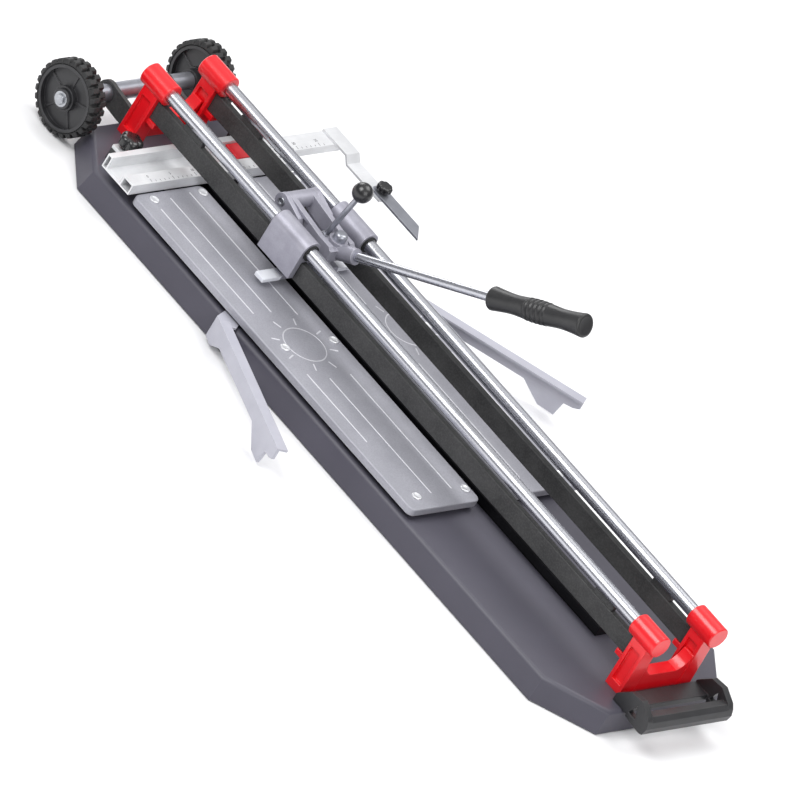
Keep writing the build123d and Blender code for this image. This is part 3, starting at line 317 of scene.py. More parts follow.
@dataclass(frozen=True)
class Ring:
    """One ring of a stacked solid: its radius, height and outline."""

    radius: float
    height: float
    outline: Outline = Outline.ROUND
    count: int = 6
    depth: float = 0.0

    def reach(self, angle: float) -> float:
        """Radius of the ring at an angle."""
        if self.outline is Outline.LOBED:
            return self.radius * (1 - self.depth + self.depth * abs(math.cos(self.count * angle / 2)) ** 0.7)
        if self.outline is Outline.HEXAGON:
            step = math.pi / 3
            return self.radius * math.cos(step / 2) / math.cos(angle % step - step / 2)
        return self.radius


def finished(name: str, bm: bmesh.types.BMesh, crease: float = 35.0) -> bpy.types.Object:
    """Turn a bmesh into a shaded object.

    Args:
        name: Name of the piece.
        bm: Mesh data, freed here.
        crease: Angle in degrees above which an edge stays sharp.

    Returns:
        The linked object.
    """
    bmesh.ops.recalc_face_normals(bm, faces=bm.faces)
    mesh = bpy.data.meshes.new(name)
    bm.to_mesh(mesh)
    bm.free()
    mesh.shade_smooth()
    mesh.set_sharp_from_angle(angle=math.radians(crease))
    made = bpy.data.objects.new(name, mesh)
    bpy.context.scene.collection.objects.link(made)
    even = made.modifiers.new("flat_faces", "WEIGHTED_NORMAL")
    even.keep_sharp = True
    return made


def stacked(rings: Sequence[Ring], segments: int = 48) -> bmesh.types.BMesh:
    """Join rings along +Z into a closed solid; the first and last rings are capped.

    Args:
        rings: Rings in millimetres, in order.
        segments: Points round each ring.

    Returns:
        The mesh, in metres, about the origin.
    """
    bm = bmesh.new()
    loops = []
    for ring in rings:
        if ring.radius <= 0:
            loops.append([bm.verts.new((0, 0, ring.height * MM))])
            continue
        row = []
        for index in range(segments):
            angle = 2 * math.pi * index / segments
            reach = ring.reach(angle) * MM
            row.append(bm.verts.new((reach * math.cos(angle), reach * math.sin(angle), ring.height * MM)))
        loops.append(row)
    for low, high in zip(loops, loops[1:]):
        for index in range(segments):
            after = (index + 1) % segments
            if len(low) == 1:
                bm.faces.new((low[0], high[after], high[index]))
            elif len(high) == 1:
                bm.faces.new((low[index], low[after], high[0]))
            else:
                bm.faces.new((low[index], low[after], high[after], high[index]))
    for row in (loops[0], loops[-1]):
        if len(row) > 1:
            bm.faces.new(row)
    return bm


def aimed(bm: bmesh.types.BMesh, place: Vector, direction: Vector) -> bmesh.types.BMesh:
    """Turn a mesh's +Z to a direction and move it to a place, in metres."""
    turn = direction.normalized().to_track_quat("Z", "Y").to_matrix().to_4x4()
    bm.transform(Matrix.Translation(place) @ turn)
    return bm


def joined(parts: Iterable[bmesh.types.BMesh]) -> bmesh.types.BMesh:
    """Put several meshes into one and free them."""
    whole = bmesh.new()
    for part in parts:
        keep = bpy.data.meshes.new("joining")
        part.to_mesh(keep)
        part.free()
        whole.from_mesh(keep)
        bpy.data.meshes.remove(keep)
    return whole


def ridge(start: Vector, end: Vector, width: float, height: float) -> bmesh.types.BMesh:
    """A low bead with rounded ends and a rounded back, from start to end, on a level face.

    Args:
        start: First end of the bead's middle line, in metres.
        end: Other end.
        width: Width in millimetres.
        height: Height in millimetres.

    Returns:
        The bead's mesh.
    """
    along = (end - start).normalized()
    across = Vector((-along.y, along.x, 0))
    profile = [(math.cos(a), math.sin(a)) for a in (0, math.pi / 5, math.pi / 2, 4 * math.pi / 5, math.pi)]
    stations = [(start, 0.0), (start + along * width * 0.15 * MM, 0.7),
                (start + along * width * 0.5 * MM, 1.0),
                (end - along * width * 0.5 * MM, 1.0), (end - along * width * 0.15 * MM, 0.7), (end, 0.0)]
    bm = bmesh.new()
    rows = []
    for place, share in stations:
        if share == 0:
            rows.append([bm.verts.new(place)])
            continue
        rows.append([])
        for c, s in profile:
            rise = Vector((0, 0, s * height * share * MM))
            rows[-1].append(bm.verts.new(place + across * (c * width / 2 * share * MM) + rise))
    for low, high in zip(rows, rows[1:]):
        for index in range(len(profile) - 1):
            if len(low) == 1:
                bm.faces.new((low[0], high[index], high[index + 1]))
            elif len(high) == 1:
                bm.faces.new((low[index], high[0], low[index + 1]))
            else:
                bm.faces.new((low[index], high[index], high[index + 1], low[index + 1]))
    between = rows[1:-1]
    one_edge = [row[0] for row in between]
    other_edge = [row[-1] for row in reversed(between)]
    bm.faces.new([rows[0][0]] + one_edge + [rows[-1][0]] + other_edge)
    return bm


def islands(node: str) -> list[tuple[Vector, Vector]]:
    """Boxes of the separate solids in a CAD node.

    Args:
        node: Name of the node.

    Returns:
        Lowest and highest corners of each solid, in metres, ordered by place.
    """
    bm = bmesh.new()
    bm.from_mesh(frame["nodes"][node].data)
    bmesh.ops.remove_doubles(bm, verts=bm.verts, dist=1e-6)
    seen: set[int] = set()
    boxes = []
    bm.verts.ensure_lookup_table()
    for start in bm.verts:
        if start.index in seen:
            continue
        seen.add(start.index)
        group, queue = [], [start]
        while queue:
            vert = queue.pop()
            group.append(vert.co.copy())
            for edge in vert.link_edges:
                other = edge.other_vert(vert)
                if other.index not in seen:
                    seen.add(other.index)
                    queue.append(other)
        low = Vector(min(co[i] for co in group) for i in range(3))
        high = Vector(max(co[i] for co in group) for i in range(3))
        boxes.append((low, high))
    bm.free()
    return sorted(boxes, key=lambda box: (round(box[0].x, 4), round(box[0].y, 4)))


def middle(box: tuple[Vector, Vector]) -> Vector:
    """Centre of a box."""
    return (box[0] + box[1]) / 2


def rounded_copy(node: str, width: float, segments: int = 2, crease: float = 30.0,
                 pick: Optional[Callable[[bmesh.types.BMEdge], bool]] = None) -> bmesh.types.BMesh:
    """A node's shape with its sharp edges rounded.

    Args:
        node: CAD node to start from.
        width: Rounding in millimetres.
        segments: Faces across the rounding.
        crease: Angle in degrees above which an edge is rounded.
        pick: Test that an edge must pass, if only some are rounded.

    Returns:
        The new mesh.
    """
    bm = bmesh.new()
    bm.from_mesh(frame["nodes"][node].data)
    bmesh.ops.remove_doubles(bm, verts=bm.verts, dist=2e-6)
    bmesh.ops.dissolve_limit(bm, angle_limit=math.radians(1.0), verts=bm.verts, edges=bm.edges)
    sharp = [edge for edge in bm.edges if len(edge.link_faces) == 2
             and edge.calc_face_angle(0.0) > math.radians(crease) and (pick is None or pick(edge))]
    if sharp and width:
        bmesh.ops.bevel(bm, geom=sharp, offset=width * MM, offset_type="OFFSET", segments=segments,
                         profile=0.5,
                        affect="EDGES", clamp_overlap=True)
    return bm


@dataclass
class Assembly:
    """A group of pieces with the calls that fasten each to the frame."""

    made: list[bpy.types.Object] = field(default_factory=list)

    def fasten(self, piece: bpy.types.Object, body: str, slot: str, *nodes: str,
               finish: Optional[Finish] = None) -> bpy.types.Object:
        """Ride a piece on a body, give it a finish, and hide the nodes that it stands for.

        Args:
            piece: The new piece.
            body: CAD body that carries it.
            slot: Material slot of the record.
            nodes: CAD nodes that it replaces.
            finish: Finish, where it isn't the slot's own.

        Returns:
            The same piece.
        """
        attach(piece, body)
        if nodes:
            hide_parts(*nodes)
        dress(piece, finish or FINISHES[slot])
        self.made.append(piece)
        return piece

    def rounded(self, node: str, width: float, **kwargs) -> bpy.types.Object:
        """Replace a node with a copy whose edges are rounded."""
        piece = finished(f"{node}_body", rounded_copy(node, width, **kwargs))
        return self.fasten(piece, BODY_OF[node], SLOT_OF[node], node)

    def keep(self, *nodes: str) -> None:
        """Dress CAD nodes that stay as they are."""
        for node in nodes:
            dress(frame["nodes"][node], FINISHES[SLOT_OF[node]])
            self.made.append(frame["nodes"][node])


# ---------------------------------------------------------------- tray and fixed parts
@dataclass
class Tray(Assembly):
    """Base tray, its feet and the breaking bar."""

    rim: float = 6.0

    def build(self) -> None:
        """Make the pieces."""
        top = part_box("base_tray")[1].z
        self.rounded("base_tray", self.rim, segments=4, crease=20,
                     pick=lambda edge: (min(v.co.z for v in edge.verts) > top - 0.001
                                         and edge.calc_length() > 0.05))
        self.rounded("breaking_bar", 0.8)
        self.rounded("breaking_strip", 0.4)
        self.keep("rubber_feet", "plate_guide_pins", "support_bolts")


@dataclass
class Supports(Assembly):
    """Red end castings, the rails in them and the beams under the rails."""

    cast_rounding: float = 1.6
    rail_segments: int = 64

    def build(self) -> None:
        """Make the pieces."""
        for node in ("near_support", "far_support"):
            self.rounded(node, self.cast_rounding, segments=3)
        for side in SIDES:
            low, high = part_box(f"{side}_guide_rail")
            radius = (high.z - low.z) / 2 / MM
            length = (high.x - low.x) / MM
            rings = [Ring(0, 0), Ring(radius - 1, 0), Ring(radius, 1), Ring(radius, length - 1),
                     Ring(radius - 1, length), Ring(0, length)]
            start = Vector((low.x, (low.y + high.y) / 2, (low.z + high.z) / 2))
            rod = aimed(stacked(rings, self.rail_segments), start, Vector((1, 0, 0)))
            rail = finished(f"{side}_rail_rod", rod)
            self.fasten(rail, "frame", "rail_chrome", f"{side}_guide_rail")
            self.rounded(f"{side}_beam", 0.8)
            self.rounded(f"{side}_rail_saddles", 0.6)


@dataclass
class TilePlates(Assembly):
    """Sinking plates with raised beads, studs and buffers."""

    bead_width: float = 3.0
    bead_height: float = 0.7
    outer_row: float = 163.0
    middle_row: float = 125.0
    inner_row: float = 77.0
    ring_radius: float = 37.0
    ray_start: float = 44.0
    ray_end: float = 60.0
    rays: int = 8
    stud_shank: float = 3.0
    stud_dish: float = 0.7

    def bead_lines(self) -> list[tuple[float, float, float]]:
        """Start, end and row of each straight bead of a plate."""
        return [(-452, -215, self.outer_row), (-471, -213, self.middle_row), (-477, -200, self.inner_row),
                (-80, 73, self.outer_row), (-65, 193, self.middle_row), (-67, 190, self.inner_row)]

    def build(self) -> None:
        """Make both plates."""
        for side, sign in zip(SIDES, (-1, 1)):
            body = f"{side}_tile_plate"
            low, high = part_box(f"{side}_plate")
            self.rounded(f"{side}_plate", 0.5)
            level = high.z - 0.0001
            beads = [ridge(Vector((a * MM, sign * y * MM, level)), Vector((b * MM, sign * y * MM, level)),
                           self.bead_width, self.bead_height) for a, b, y in self.bead_lines()]
            studs = islands(f"{side}_plate_studs")
            centre = Vector((middle(studs[2]).x, (low.y + high.y) / 2, level))
            beads += self.emblem(centre)
            # The beads wear a brighter copy of the plate's aluminium: a painted highlight.
            self.fasten(finished(f"{side}_plate_beads", joined(beads), 60), body, "plate_aluminium",
                        finish=HIGHLIGHT_BEAD_ALUMINIUM)
            heads = []
            for box in studs:
                radius = (box[1].x - box[0].x) / 2 / MM
                tall = (box[1].z - high.z) / MM
                rings = [Ring(self.stud_shank, (box[0].z - high.z) / MM), Ring(self.stud_shank, 0.05),
                         Ring(radius, 0.05), Ring(radius, 0.3), Ring(radius - 0.5, tall - 0.5),
                         Ring(radius - 1.4, tall), Ring(radius - 2.4, tall),
                         Ring(radius - 4, tall - self.stud_dish),
                         Ring(0, tall - self.stud_dish)]
                heads.append(aimed(stacked(rings, 36), Vector((middle(box).x, middle(box).y, high.z)),
                                   Vector((0, 0, 1))))
            self.fasten(finished(f"{side}_stud_heads", joined(heads)), body, "stud_steel",
                        f"{side}_plate_studs")
            self.keep(f"{side}_plate_buffers")

    def emblem(self, centre: Vector) -> list[bmesh.types.BMesh]:
        """Plain ring of beads with short rays, in the middle of a plate."""
        parts = []
        steps = 40
        for index in range(steps):
            ends = [centre + Vector((math.cos(a), math.sin(a), 0)) * self.ring_radius * MM
                    for a in (2 * math.pi * (index - 0.3) / steps, 2 * math.pi * (index + 1.3) / steps)]
            parts.append(ridge(ends[0], ends[1], self.bead_width * 0.8, self.bead_height * 0.8))
        for index in range(self.rays):
            angle = 2 * math.pi * (index + 0.5) / self.rays
            out = Vector((math.cos(angle), math.sin(angle), 0))
            parts.append(ridge(centre + out * self.ray_start * MM, centre + out * self.ray_end * MM,
                               self.bead_width, self.bead_height))
        return parts


# ---------------------------------------------------------------- carriage, lever, scoring head
@dataclass
class Carriage(Assembly):
    """Casting on the rails with its bushes, wipers, hinge pin and screws."""

    rounding: float = 1.8
    screw_head: float = 14.0
    screw_height: float = 3.0

    def build(self) -> None:
        """Make the pieces."""
        self.rounded("carriage", self.rounding, segments=3)
        self.keep("rail_bushes", "rail_wipers", "lever_hinge_pin")
        pin_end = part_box("lever_hinge_pin")[1].y
        hinge = middle(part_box("lever_hinge_pin"))
        screws = [screw(self.screw_head, self.screw_height,
                        Vector((hinge.x, sign * (pin_end - 0.0005), hinge.z)), Vector((0, sign, 0)))
                  for sign in (-1, 1)]
        self.fasten(finished("carriage_screws", joined(screws)), "carriage", "bolt_steel")


def screw(head: float, height: float, place: Vector, direction: Vector) -> bmesh.types.BMesh:
    """Socket-head screw, seen from its head.

    Args:
        head: Head diameter in millimetres.
        height: Height of the head above its seat.
        place: Middle of the seat, in metres.
        direction: Way the head points.

    Returns:
        The screw's mesh.
    """
    radius = head / 2
    rings = [Ring(0, -1), Ring(radius * 0.9, -1), Ring(radius, 0), Ring(radius, height - 0.8),
             Ring(radius - 0.8, height), Ring(radius * 0.56, height, Outline.HEXAGON),
             Ring(radius * 0.52, height * 0.3, Outline.HEXAGON),
             Ring(0, height * 0.2)]
    return aimed(stacked(rings, 36), place, direction)


@dataclass
class Lever(Assembly):
    """Hinged bracket with its rod and moulded grip."""

    grip_segments: int = 64
    grip_radius: float = 19.4
    waist_radius: float = 15.0
    belly_radius: float = 18.2
    ring_count: int = 5
    ring_pitch: float = 9.0
    ring_height: float = 2.6
    end_round: float = 4.0
    end_rim: float = 6.0
    recess_rim: float = 7.5
    recess_depth: float = 1.2
    grip_clearance: float = 0.2
    grip_steps: int = 150

    def grip_reach(self, place: float, length: float) -> float:
        """Radius of the grip.

        Args:
            place: Distance from its lower end, in millimetres.
            length: Length of the grip.

        Returns:
            Radius in millimetres.
        """
        centre = length * 0.5
        across = (place - centre) / centre
        flare = (self.grip_radius - self.waist_radius) * max(0.0, abs(across) * 1.9 - 0.9) ** 1.4
        belly = (self.belly_radius - self.waist_radius) * math.exp(-(across / 0.4) ** 2)
        reach = self.waist_radius + min(flare, self.grip_radius - self.waist_radius) + belly
        span = self.ring_count * self.ring_pitch / 2
        if abs(place - centre) < span:
            turn = (place - centre + span) / self.ring_pitch
            reach += self.ring_height * (abs(math.sin(math.pi * turn)) ** 0.7 - 0.7)
        return min(reach, self.grip_radius)

    def build(self) -> None:
        """Make the pieces."""
        self.rounded("lever_bracket", 1.6, segments=3)
        self.keep("ball_pivot_pin", "scoring_pin")
        self.rounded("lever_rod", 0.6)
        low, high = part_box("lever_grip")
        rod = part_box("lever_rod")
        run = high - low
        slope = math.atan2(middle((low, high)).z - middle(rod).z, middle((low, high)).x - middle(rod).x)
        axis = Vector((math.cos(slope), 0, math.sin(slope)))
        lean = abs(math.sin(slope))
        length = (run.x / MM - 2 * self.grip_radius * lean) / math.cos(slope) - self.grip_clearance
        rings = [Ring(0, 0)]
        for index in range(self.grip_steps + 1):
            place = length * index / self.grip_steps
            edge = min(place, length - place)
            reach = self.grip_reach(place, length)
            if edge < self.end_round:
                reach -= self.end_round - math.sqrt(self.end_round ** 2 - (self.end_round - edge) ** 2)
            rings.append(Ring(reach, place))
        rings.append(Ring(self.grip_radius - self.end_rim, length))
        rings.append(Ring(self.grip_radius - self.recess_rim, length - self.recess_depth))
        rings.append(Ring(0, length - self.recess_depth))
        start = middle((low, high)) - axis * (length / 2 * MM)
        self.fasten(finished("grip_moulding", aimed(stacked(rings, self.grip_segments), start, axis), 50),
                    "lever", "grip_rubber", "lever_grip")


@dataclass
class ScoringHead(Assembly):
    """Shaft, nut, wheel and the ball lever."""

    ball_neck: float = 6.5

    def build(self) -> None:
        """Make the pieces."""
        self.rounded("scoring_holder", 0.8)
        self.keep("scoring_wheel", "cap_nut")
        self.rounded("ball_stick", 0.5)
        low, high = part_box("ball_knob")
        centre = middle((low, high))
        foot = middle(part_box("ball_pivot_pin"))
        axis = (centre - foot).normalized()
        radius = (high.z - low.z) / 2 / MM
        count = 30
        flat = math.asin(self.ball_neck / radius)
        rings = [Ring(0, -radius * math.cos(flat))]
        for index in range(count + 1):
            angle = flat + (math.pi - flat) * index / count
            rings.append(Ring(max(radius * math.sin(angle), 0.0) if index < count else 0.0,
                              -radius * math.cos(angle)))
        ball = finished("ball_grip", aimed(stacked(rings, 48), centre, axis))
        self.fasten(ball, "ball_lever", "ball_plastic", "ball_knob")


@dataclass
class BreakerFoot(Assembly):
    """Cross bar that snaps the tile, with white pads."""

    def build(self) -> None:
        """Make the pieces."""
        self.rounded("breaker_foot", 1.0)
        self.rounded("breaker_pads", 0.6, segments=2)


# ---------------------------------------------------------------- wheels
@dataclass
class Wheels(Assembly):
    """Cleated transport wheels on a steel axle."""

    cleats: int = 26
    cleat_depth: float = 5.4
    bolt_head: float = 20.0
    bolt_height: float = 4.0
    steps: int = 10
    washer_share: float = 0.62
    hexagon_share: float = 0.45
    crown_share: float = 0.36
    washer_height: float = 0.8

    def cleat(self, angle: float, offset: float) -> float:
        """How deep the tread is at an angle, from 0 on a cleat to 1 in a gap."""
        share = (angle / (2 * math.pi) * self.cleats + offset) % 1.0
        edge = 0.08
        if share < 0.58:
            return 0.0
        return min(1.0, (share - 0.58) / edge, (1.0 - share) / edge)

    def tread(self, width: float, radius: float, inner: float) -> bmesh.types.BMesh:
        """Tyre with two rows of staggered cleats.

        Args:
            width: Tyre width in millimetres.
            radius: Outer radius.
            inner: Radius of the bead.

        Returns:
            The tyre about +Z, in metres.
        """
        half = width / 2
        # height, radius and gap depth of each station, from one side to the other
        stations = [(-half + 1.5, inner, 0.0, 0.0), (-half, inner + 1.5, 0.0, 0.0),
                    (-half, radius - 8, 0.0, 0.0),
                    (-half + 0.6, radius - 5.5, 0.25, 0.0), (-half + 2.0, radius - 1.6, 0.9, 0.0),
                    (-half + 3.6, radius, 1.0, 0.0), (-1.6, radius, 1.0, 0.0), (-1.0, radius, 1.0, 0.25),
                    (1.0, radius, 1.0, 0.25), (1.6, radius, 1.0, 0.5), (half - 3.6, radius, 1.0, 0.5),
                    (half - 2.0, radius - 1.6, 0.9, 0.5), (half - 0.6, radius - 5.5, 0.25, 0.5),
                    (half, radius - 8, 0.0, 0.0), (half, inner + 1.5, 0.0, 0.0),
                    (half - 1.5, inner, 0.0, 0.0)]
        bm = bmesh.new()
        segments = self.cleats * self.steps
        rows = []
        for height, reach, share, offset in stations:
            row = []
            for index in range(segments):
                angle = 2 * math.pi * index / segments
                r = (reach - self.cleat_depth * share * self.cleat(angle, offset)) * MM
                row.append(bm.verts.new((r * math.cos(angle), r * math.sin(angle), height * MM)))
            rows.append(row)
        for low, high in zip(rows, rows[1:] + rows[:1]):
            for index in range(segments):
                after = (index + 1) % segments
                bm.faces.new((low[index], low[after], high[after], high[index]))
        return bm

    def build(self) -> None:
        """Make both wheels and the axle."""
        for side, sign in zip(SIDES, (-1, 1)):
            tyre_low, tyre_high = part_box(f"{side}_tyre")
            rim_low, rim_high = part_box(f"{side}_wheel_rim")
            centre = middle((rim_low, rim_high))
            radius = (tyre_high.z - tyre_low.z) / 2 / MM
            inner = (rim_high.z - rim_low.z) / 2 / MM
            tyre = self.tread((tyre_high.y - tyre_low.y) / MM, radius, inner)
            self.fasten(finished(f"{side}_tread", aimed(tyre, centre, Vector((0, 1, 0))), 40),
                        f"{side}_wheel", "tyre_rubber", f"{side}_tyre")
            self.rounded(f"{side}_wheel_rim", 0.9)
            self.rounded(f"{side}_axle_cap", 0.5)
            cap_low, cap_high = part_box(f"{side}_axle_cap")
            face = Vector((centre.x, sign * (max(abs(cap_low.y), abs(cap_high.y)) - 0.0002), centre.z))
            washer = self.bolt_head * self.washer_share
            hexagon = self.bolt_head * self.hexagon_share
            crown = self.bolt_head * self.crown_share
            seat = self.washer_height
            bolt = [stacked([Ring(0, -1), Ring(washer, -1), Ring(washer, seat), Ring(0, seat)], 40),
                    stacked([Ring(0, seat), Ring(hexagon, seat, Outline.HEXAGON),
                             Ring(hexagon, self.bolt_height, Outline.HEXAGON),
                             Ring(crown, self.bolt_height + 0.8), Ring(0, self.bolt_height + 0.9)], 36)]
            self.fasten(finished(f"{side}_axle_bolt", aimed(joined(bolt), face, Vector((0, sign, 0)))),
                        "frame", "bolt_steel")
            self.keep(f"{side}_axle_spacer")
        self.rounded("axle", 0.4)
        self.rounded("axle_bracket", 1.0)


@dataclass
class CarryingHandle(Assembly):
    """Moulded handle at the near end."""

    def build(self) -> None:
        """Make the piece."""
        self.rounded("handle", 2.6, segments=4)


# ---------------------------------------------------------------- stop, ruler, square
@dataclass
class LateralStop(Assembly):
    """Extruded stop with a printed scale, its clamps, star knobs and the ruler."""

    tick_pitch: float = 10.0
    tick_width: float = 0.8
    tick_short: float = 3.5
    tick_long: float = 6.5
    print_depth: float = 0.12
    figure_size: float = 7.0
    figure_gap: float = 5.5
    ticks_in_group: int = 5
    scale_start: float = 45.0
    scale_margin: float = 8.0
    scale_inset: float = 2.5
    ruler_margin: float = 34.0
    ruler_inset: float = 2.0
    ruler_first: int = 10
    knob_depth: float = 18.0
    knob_hub: float = 8.5
    knob_seat: float = 6.3
    lobes: int = 5
    lobe_depth: float = 0.26

    def star(self, radius: float, low: float, high: float, hub: float, seat: float) -> bmesh.types.BMesh:
        """Lobed knob from its hub upward, heights in millimetres above the floor."""
        count, depth = self.lobes, self.lobe_depth
        rings = [Ring(0, seat), Ring(hub, seat), Ring(hub, low - 1), Ring(hub + 2, low),
                 Ring(radius - 2.5, low, Outline.LOBED, count, depth),
                 Ring(radius - 0.6, low + 1.5, Outline.LOBED, count, depth),
                 Ring(radius, low + 4, Outline.LOBED, count, depth),
                 Ring(radius, high - 6, Outline.LOBED, count, depth),
                 Ring(radius - 1.2, high - 3, Outline.LOBED, count, depth),
                 Ring(radius - 4, high - 0.8, Outline.LOBED, count, depth * 0.8),
                 Ring(radius - 8, high, Outline.LOBED, count, depth * 0.4), Ring(0, high)]
        return stacked(rings, 96)

    def scale(self, name: str, body: str, start: float, end: float, front: float, level: float,
              first: int = 0) -> None:
        """Printed ticks and plain numbers along Y on a level face.

        Args:
            name: Name of the print.
            body: Body that carries it.
            start: First tick's Y, in millimetres.
            end: Last possible Y.
            front: X of the edge that the ticks start from.
            level: Height of the face, in metres.
            first: Number at the first tick, in centimetres.
        """
        bm = bmesh.new()
        count = int((end - start) / self.tick_pitch)
        for index in range(count + 1):
            y = start + index * self.tick_pitch
            length = self.tick_long if index % self.ticks_in_group == 0 else self.tick_short
            size = Vector((length, self.tick_width, self.print_depth)) * MM
            place = (Vector((front - length / 2, y, 0)) * MM
                     + Vector((0, 0, level + self.print_depth * MM / 2)))
            bmesh.ops.create_cube(bm, size=1.0,
                                  matrix=Matrix.Translation(place) @ Matrix.Diagonal((*size, 1.0)))
        self.fasten(finished(f"{name}_ticks", bm), body, "black_plastic", finish=SCALE_INK)
        for index in range(0, count + 1, self.ticks_in_group):
            curve = bpy.data.curves.new(f"{name}_figure_{index}", "FONT")
            curve.body = str(first + index)
            curve.size = self.figure_size * MM
            curve.extrude = self.print_depth / 2 * MM
            curve.align_x = "CENTER"
            curve.align_y = "CENTER"
            figure = bpy.data.objects.new(f"{name}_figure_{index}", curve)
            bpy.context.scene.collection.objects.link(figure)
            figure.location = (front * MM - (self.tick_long + self.figure_gap) * MM,
                               (start + index * self.tick_pitch) * MM,
                               level + self.print_depth * MM / 2)
            figure.rotation_euler = (0, 0, math.pi / 2)
            bpy.context.view_layer.update()
            self.fasten(figure, body, "black_plastic", finish=SCALE_INK)

    def build(self) -> None:
        """Make the pieces."""
        self.rounded("stop_bar", 0.5)
        self.rounded("stop_clamps", 1.0)
        self.rounded("ruler", 0.5)
        self.rounded("ruler_cap", 0.6)
        low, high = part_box("stop_bar")
        ruler_low, ruler_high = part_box("ruler")
        self.scale("stop_scale", "frame", low.y / MM + self.scale_start, high.y / MM - self.scale_margin,
                   high.x / MM - self.scale_inset, ruler_high.z - 0.0003)
        self.scale("ruler_scale", "ruler", ruler_low.y / MM + self.scale_margin,
                   ruler_high.y / MM - self.ruler_margin, ruler_high.x / MM - self.ruler_inset,
                   ruler_high.z, self.ruler_first)
        for side in SIDES:
            knob_low, knob_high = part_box(f"{side}_star_knob")
            centre = middle((knob_low, knob_high))
            radius = (knob_high.x - knob_low.x) / 2 / MM
            top = knob_high.z / MM
            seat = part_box("stop_clamps")[1].z / MM + self.knob_seat
            knob = self.star(radius, top - self.knob_depth, top, self.knob_hub, seat)
            knob = aimed(knob, Vector((centre.x, centre.y, 0)), Vector((0, 0, 1)))
            self.fasten(finished(f"{side}_star", knob, 50), f"{side}_clamp_knob", "ball_plastic",
                        f"{side}_star_knob")


@dataclass
class Square(Assembly):
    """Square arm on the ruler with its blade and clamp knob."""

    knob_radius: float = 13.0
    lobes: int = 7
    lobe_depth: float = 0.16

    def build(self) -> None:
        """Make the pieces."""
        self.rounded("square_arm", 0.6)
        self.rounded("square_blade", 0.5)
        low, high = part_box("square_knob")
        centre = middle((low, high))
        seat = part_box("square_blade")[1].z / MM + 0.3
        radius, top = self.knob_radius, high.z / MM
        lobed = (Outline.LOBED, self.lobes, self.lobe_depth)
        rings = [Ring(0, seat), Ring(radius * 0.6, seat), Ring(radius * 0.6, seat + 2.5),
                 Ring(radius - 1, seat + 3.2, *lobed), Ring(radius, seat + 4.5, *lobed),
                 Ring(radius, top - 2.5, *lobed), Ring(radius - 1.2, top - 0.8, *lobed),
                 Ring(radius - 3.5, top, *lobed), Ring(0, top)]
        knob = aimed(stacked(rings, 112), Vector((centre.x, centre.y, 0)), Vector((0, 0, 1)))
        self.fasten(finished("square_star", knob, 50), "blade_knob", "ball_plastic", "square_knob")


@dataclass
class SideArms(Assembly):
    """Folding arms that widen the bed."""

    def build(self) -> None:
        """Make the pieces."""
        for side in SIDES:
            self.rounded(f"{side}_side_arm", 1.2, segments=3)
            self.keep(f"{side}_arm_pin")


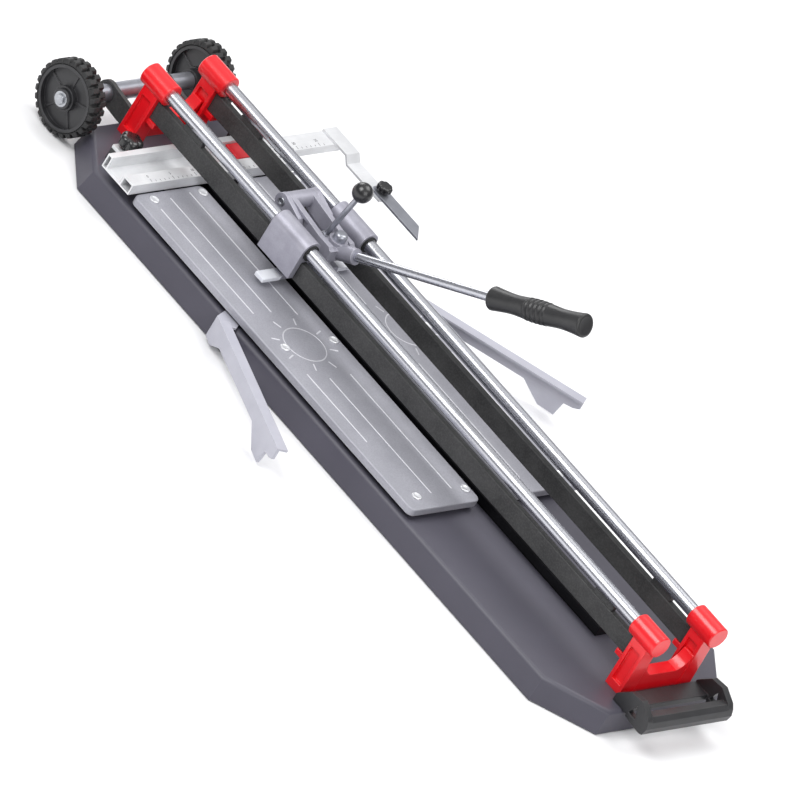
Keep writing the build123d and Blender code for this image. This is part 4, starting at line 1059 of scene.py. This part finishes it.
# ---------------------------------------------------------------- studio
@dataclass
class Studio:
    """Camera, pale floor and soft light."""

    lens: float = 1500.0
    reach: float = 50.2
    target: Place = (0.0084, -0.0416, 0.075)
    right: Place = (0.5939, 0.6681, 0.4483)
    up: Place = (-0.6708, 0.1034, 0.7344)
    back: Place = (0.4443, -0.7368, 0.5096)
    floor_size: float = 60.0

    def camera(self) -> None:
        """Long-lens camera that keeps parallel edges parallel."""
        data = bpy.data.cameras.new("camera")
        data.lens = self.lens
        data.clip_start = 1.0
        data.clip_end = 200.0
        made = bpy.data.objects.new("camera", data)
        bpy.context.scene.collection.objects.link(made)
        basis = Matrix((self.right, self.up, self.back)).transposed()
        place = Vector(self.target) + Vector(self.back) * self.reach
        made.matrix_world = Matrix.Translation(place) @ basis.to_4x4()
        bpy.context.scene.camera = made

    def floor(self) -> None:
        """Pale matt floor."""
        bm = bmesh.new()
        bmesh.ops.create_grid(bm, x_segments=1, y_segments=1, size=self.floor_size / 2)
        made = finished("studio_floor", bm)
        made.location.z = -0.0005
        finish = Finish("pale_floor", "#f4f4f5", "#f0f0f2", 800, 0.4, 0, 1.45, 0.8, 0.03, 3, 0.0, edge_mm=0.1)
        dress(made, finish)

    def lights(self) -> None:
        """Large soft panels and a bright world with a darker skirt, which gives the chrome its lines."""
        world = bpy.data.worlds.new("studio")
        bpy.context.scene.world = world
        world.use_nodes = True
        tree = world.node_tree
        tree.nodes.clear()
        where = add_node(tree, "ShaderNodeTexCoord")
        parts = add_node(tree, "ShaderNodeSeparateXYZ", links={0: where.outputs["Generated"]})
        ramp = add_node(tree, "ShaderNodeValToRGB", links={0: parts.outputs[2]})
        stops = ramp.color_ramp.elements
        stops[0].position, stops[0].color = 0.0, (0.55, 0.55, 0.57, 1)
        stops[1].position, stops[1].color = 0.8, (1.0, 1.0, 1.0, 1)
        shade = stops.new(0.25)
        shade.color = (0.35, 0.35, 0.37, 1)
        sky = add_node(tree, "ShaderNodeBackground", values={"Strength": 0.8}, links={0: ramp.outputs[0]})
        add_node(tree, "ShaderNodeOutputWorld", links={0: sky.outputs[0]})
        for name, place, size, power in (("key", (-1.2, -2.6, 3.4), 2.2, 95.0),
                                         ("fill", (3.0, -1.2, 2.2), 2.5, 45.0),
                                         ("top", (0.2, 1.6, 3.6), 2.4, 60.0),
                                         ("rim", (-3.2, 1.4, 1.8), 1.6, 30.0)):
            data = bpy.data.lights.new(name, "AREA")
            data.shape = "SQUARE"
            data.size = size
            data.energy = power
            lamp = bpy.data.objects.new(name, data)
            bpy.context.scene.collection.objects.link(lamp)
            lamp.location = place
            lamp.rotation_mode = "QUATERNION"
            lamp.rotation_quaternion = (-Vector(place)).to_track_quat("-Z", "Y")

    def build(self) -> None:
        """Set the stage."""
        bpy.context.scene.view_settings.view_transform = "Standard"
        self.camera()
        self.floor()
        self.lights()


def main() -> None:
    """Build every sub-assembly and the studio, and report each piece."""
    logging.basicConfig(level=logging.INFO, format="%(message)s")
    Studio().build()
    for kind in (Tray, Supports, TilePlates, Carriage, Lever, ScoringHead, BreakerFoot, Wheels,
                 CarryingHandle,
                 LateralStop, Square, SideArms):
        group = kind()
        group.build()
        for piece in group.made:
            LOG.info("%s: %s", kind.__name__, piece.name)


if __name__ == "__main__":
    main()
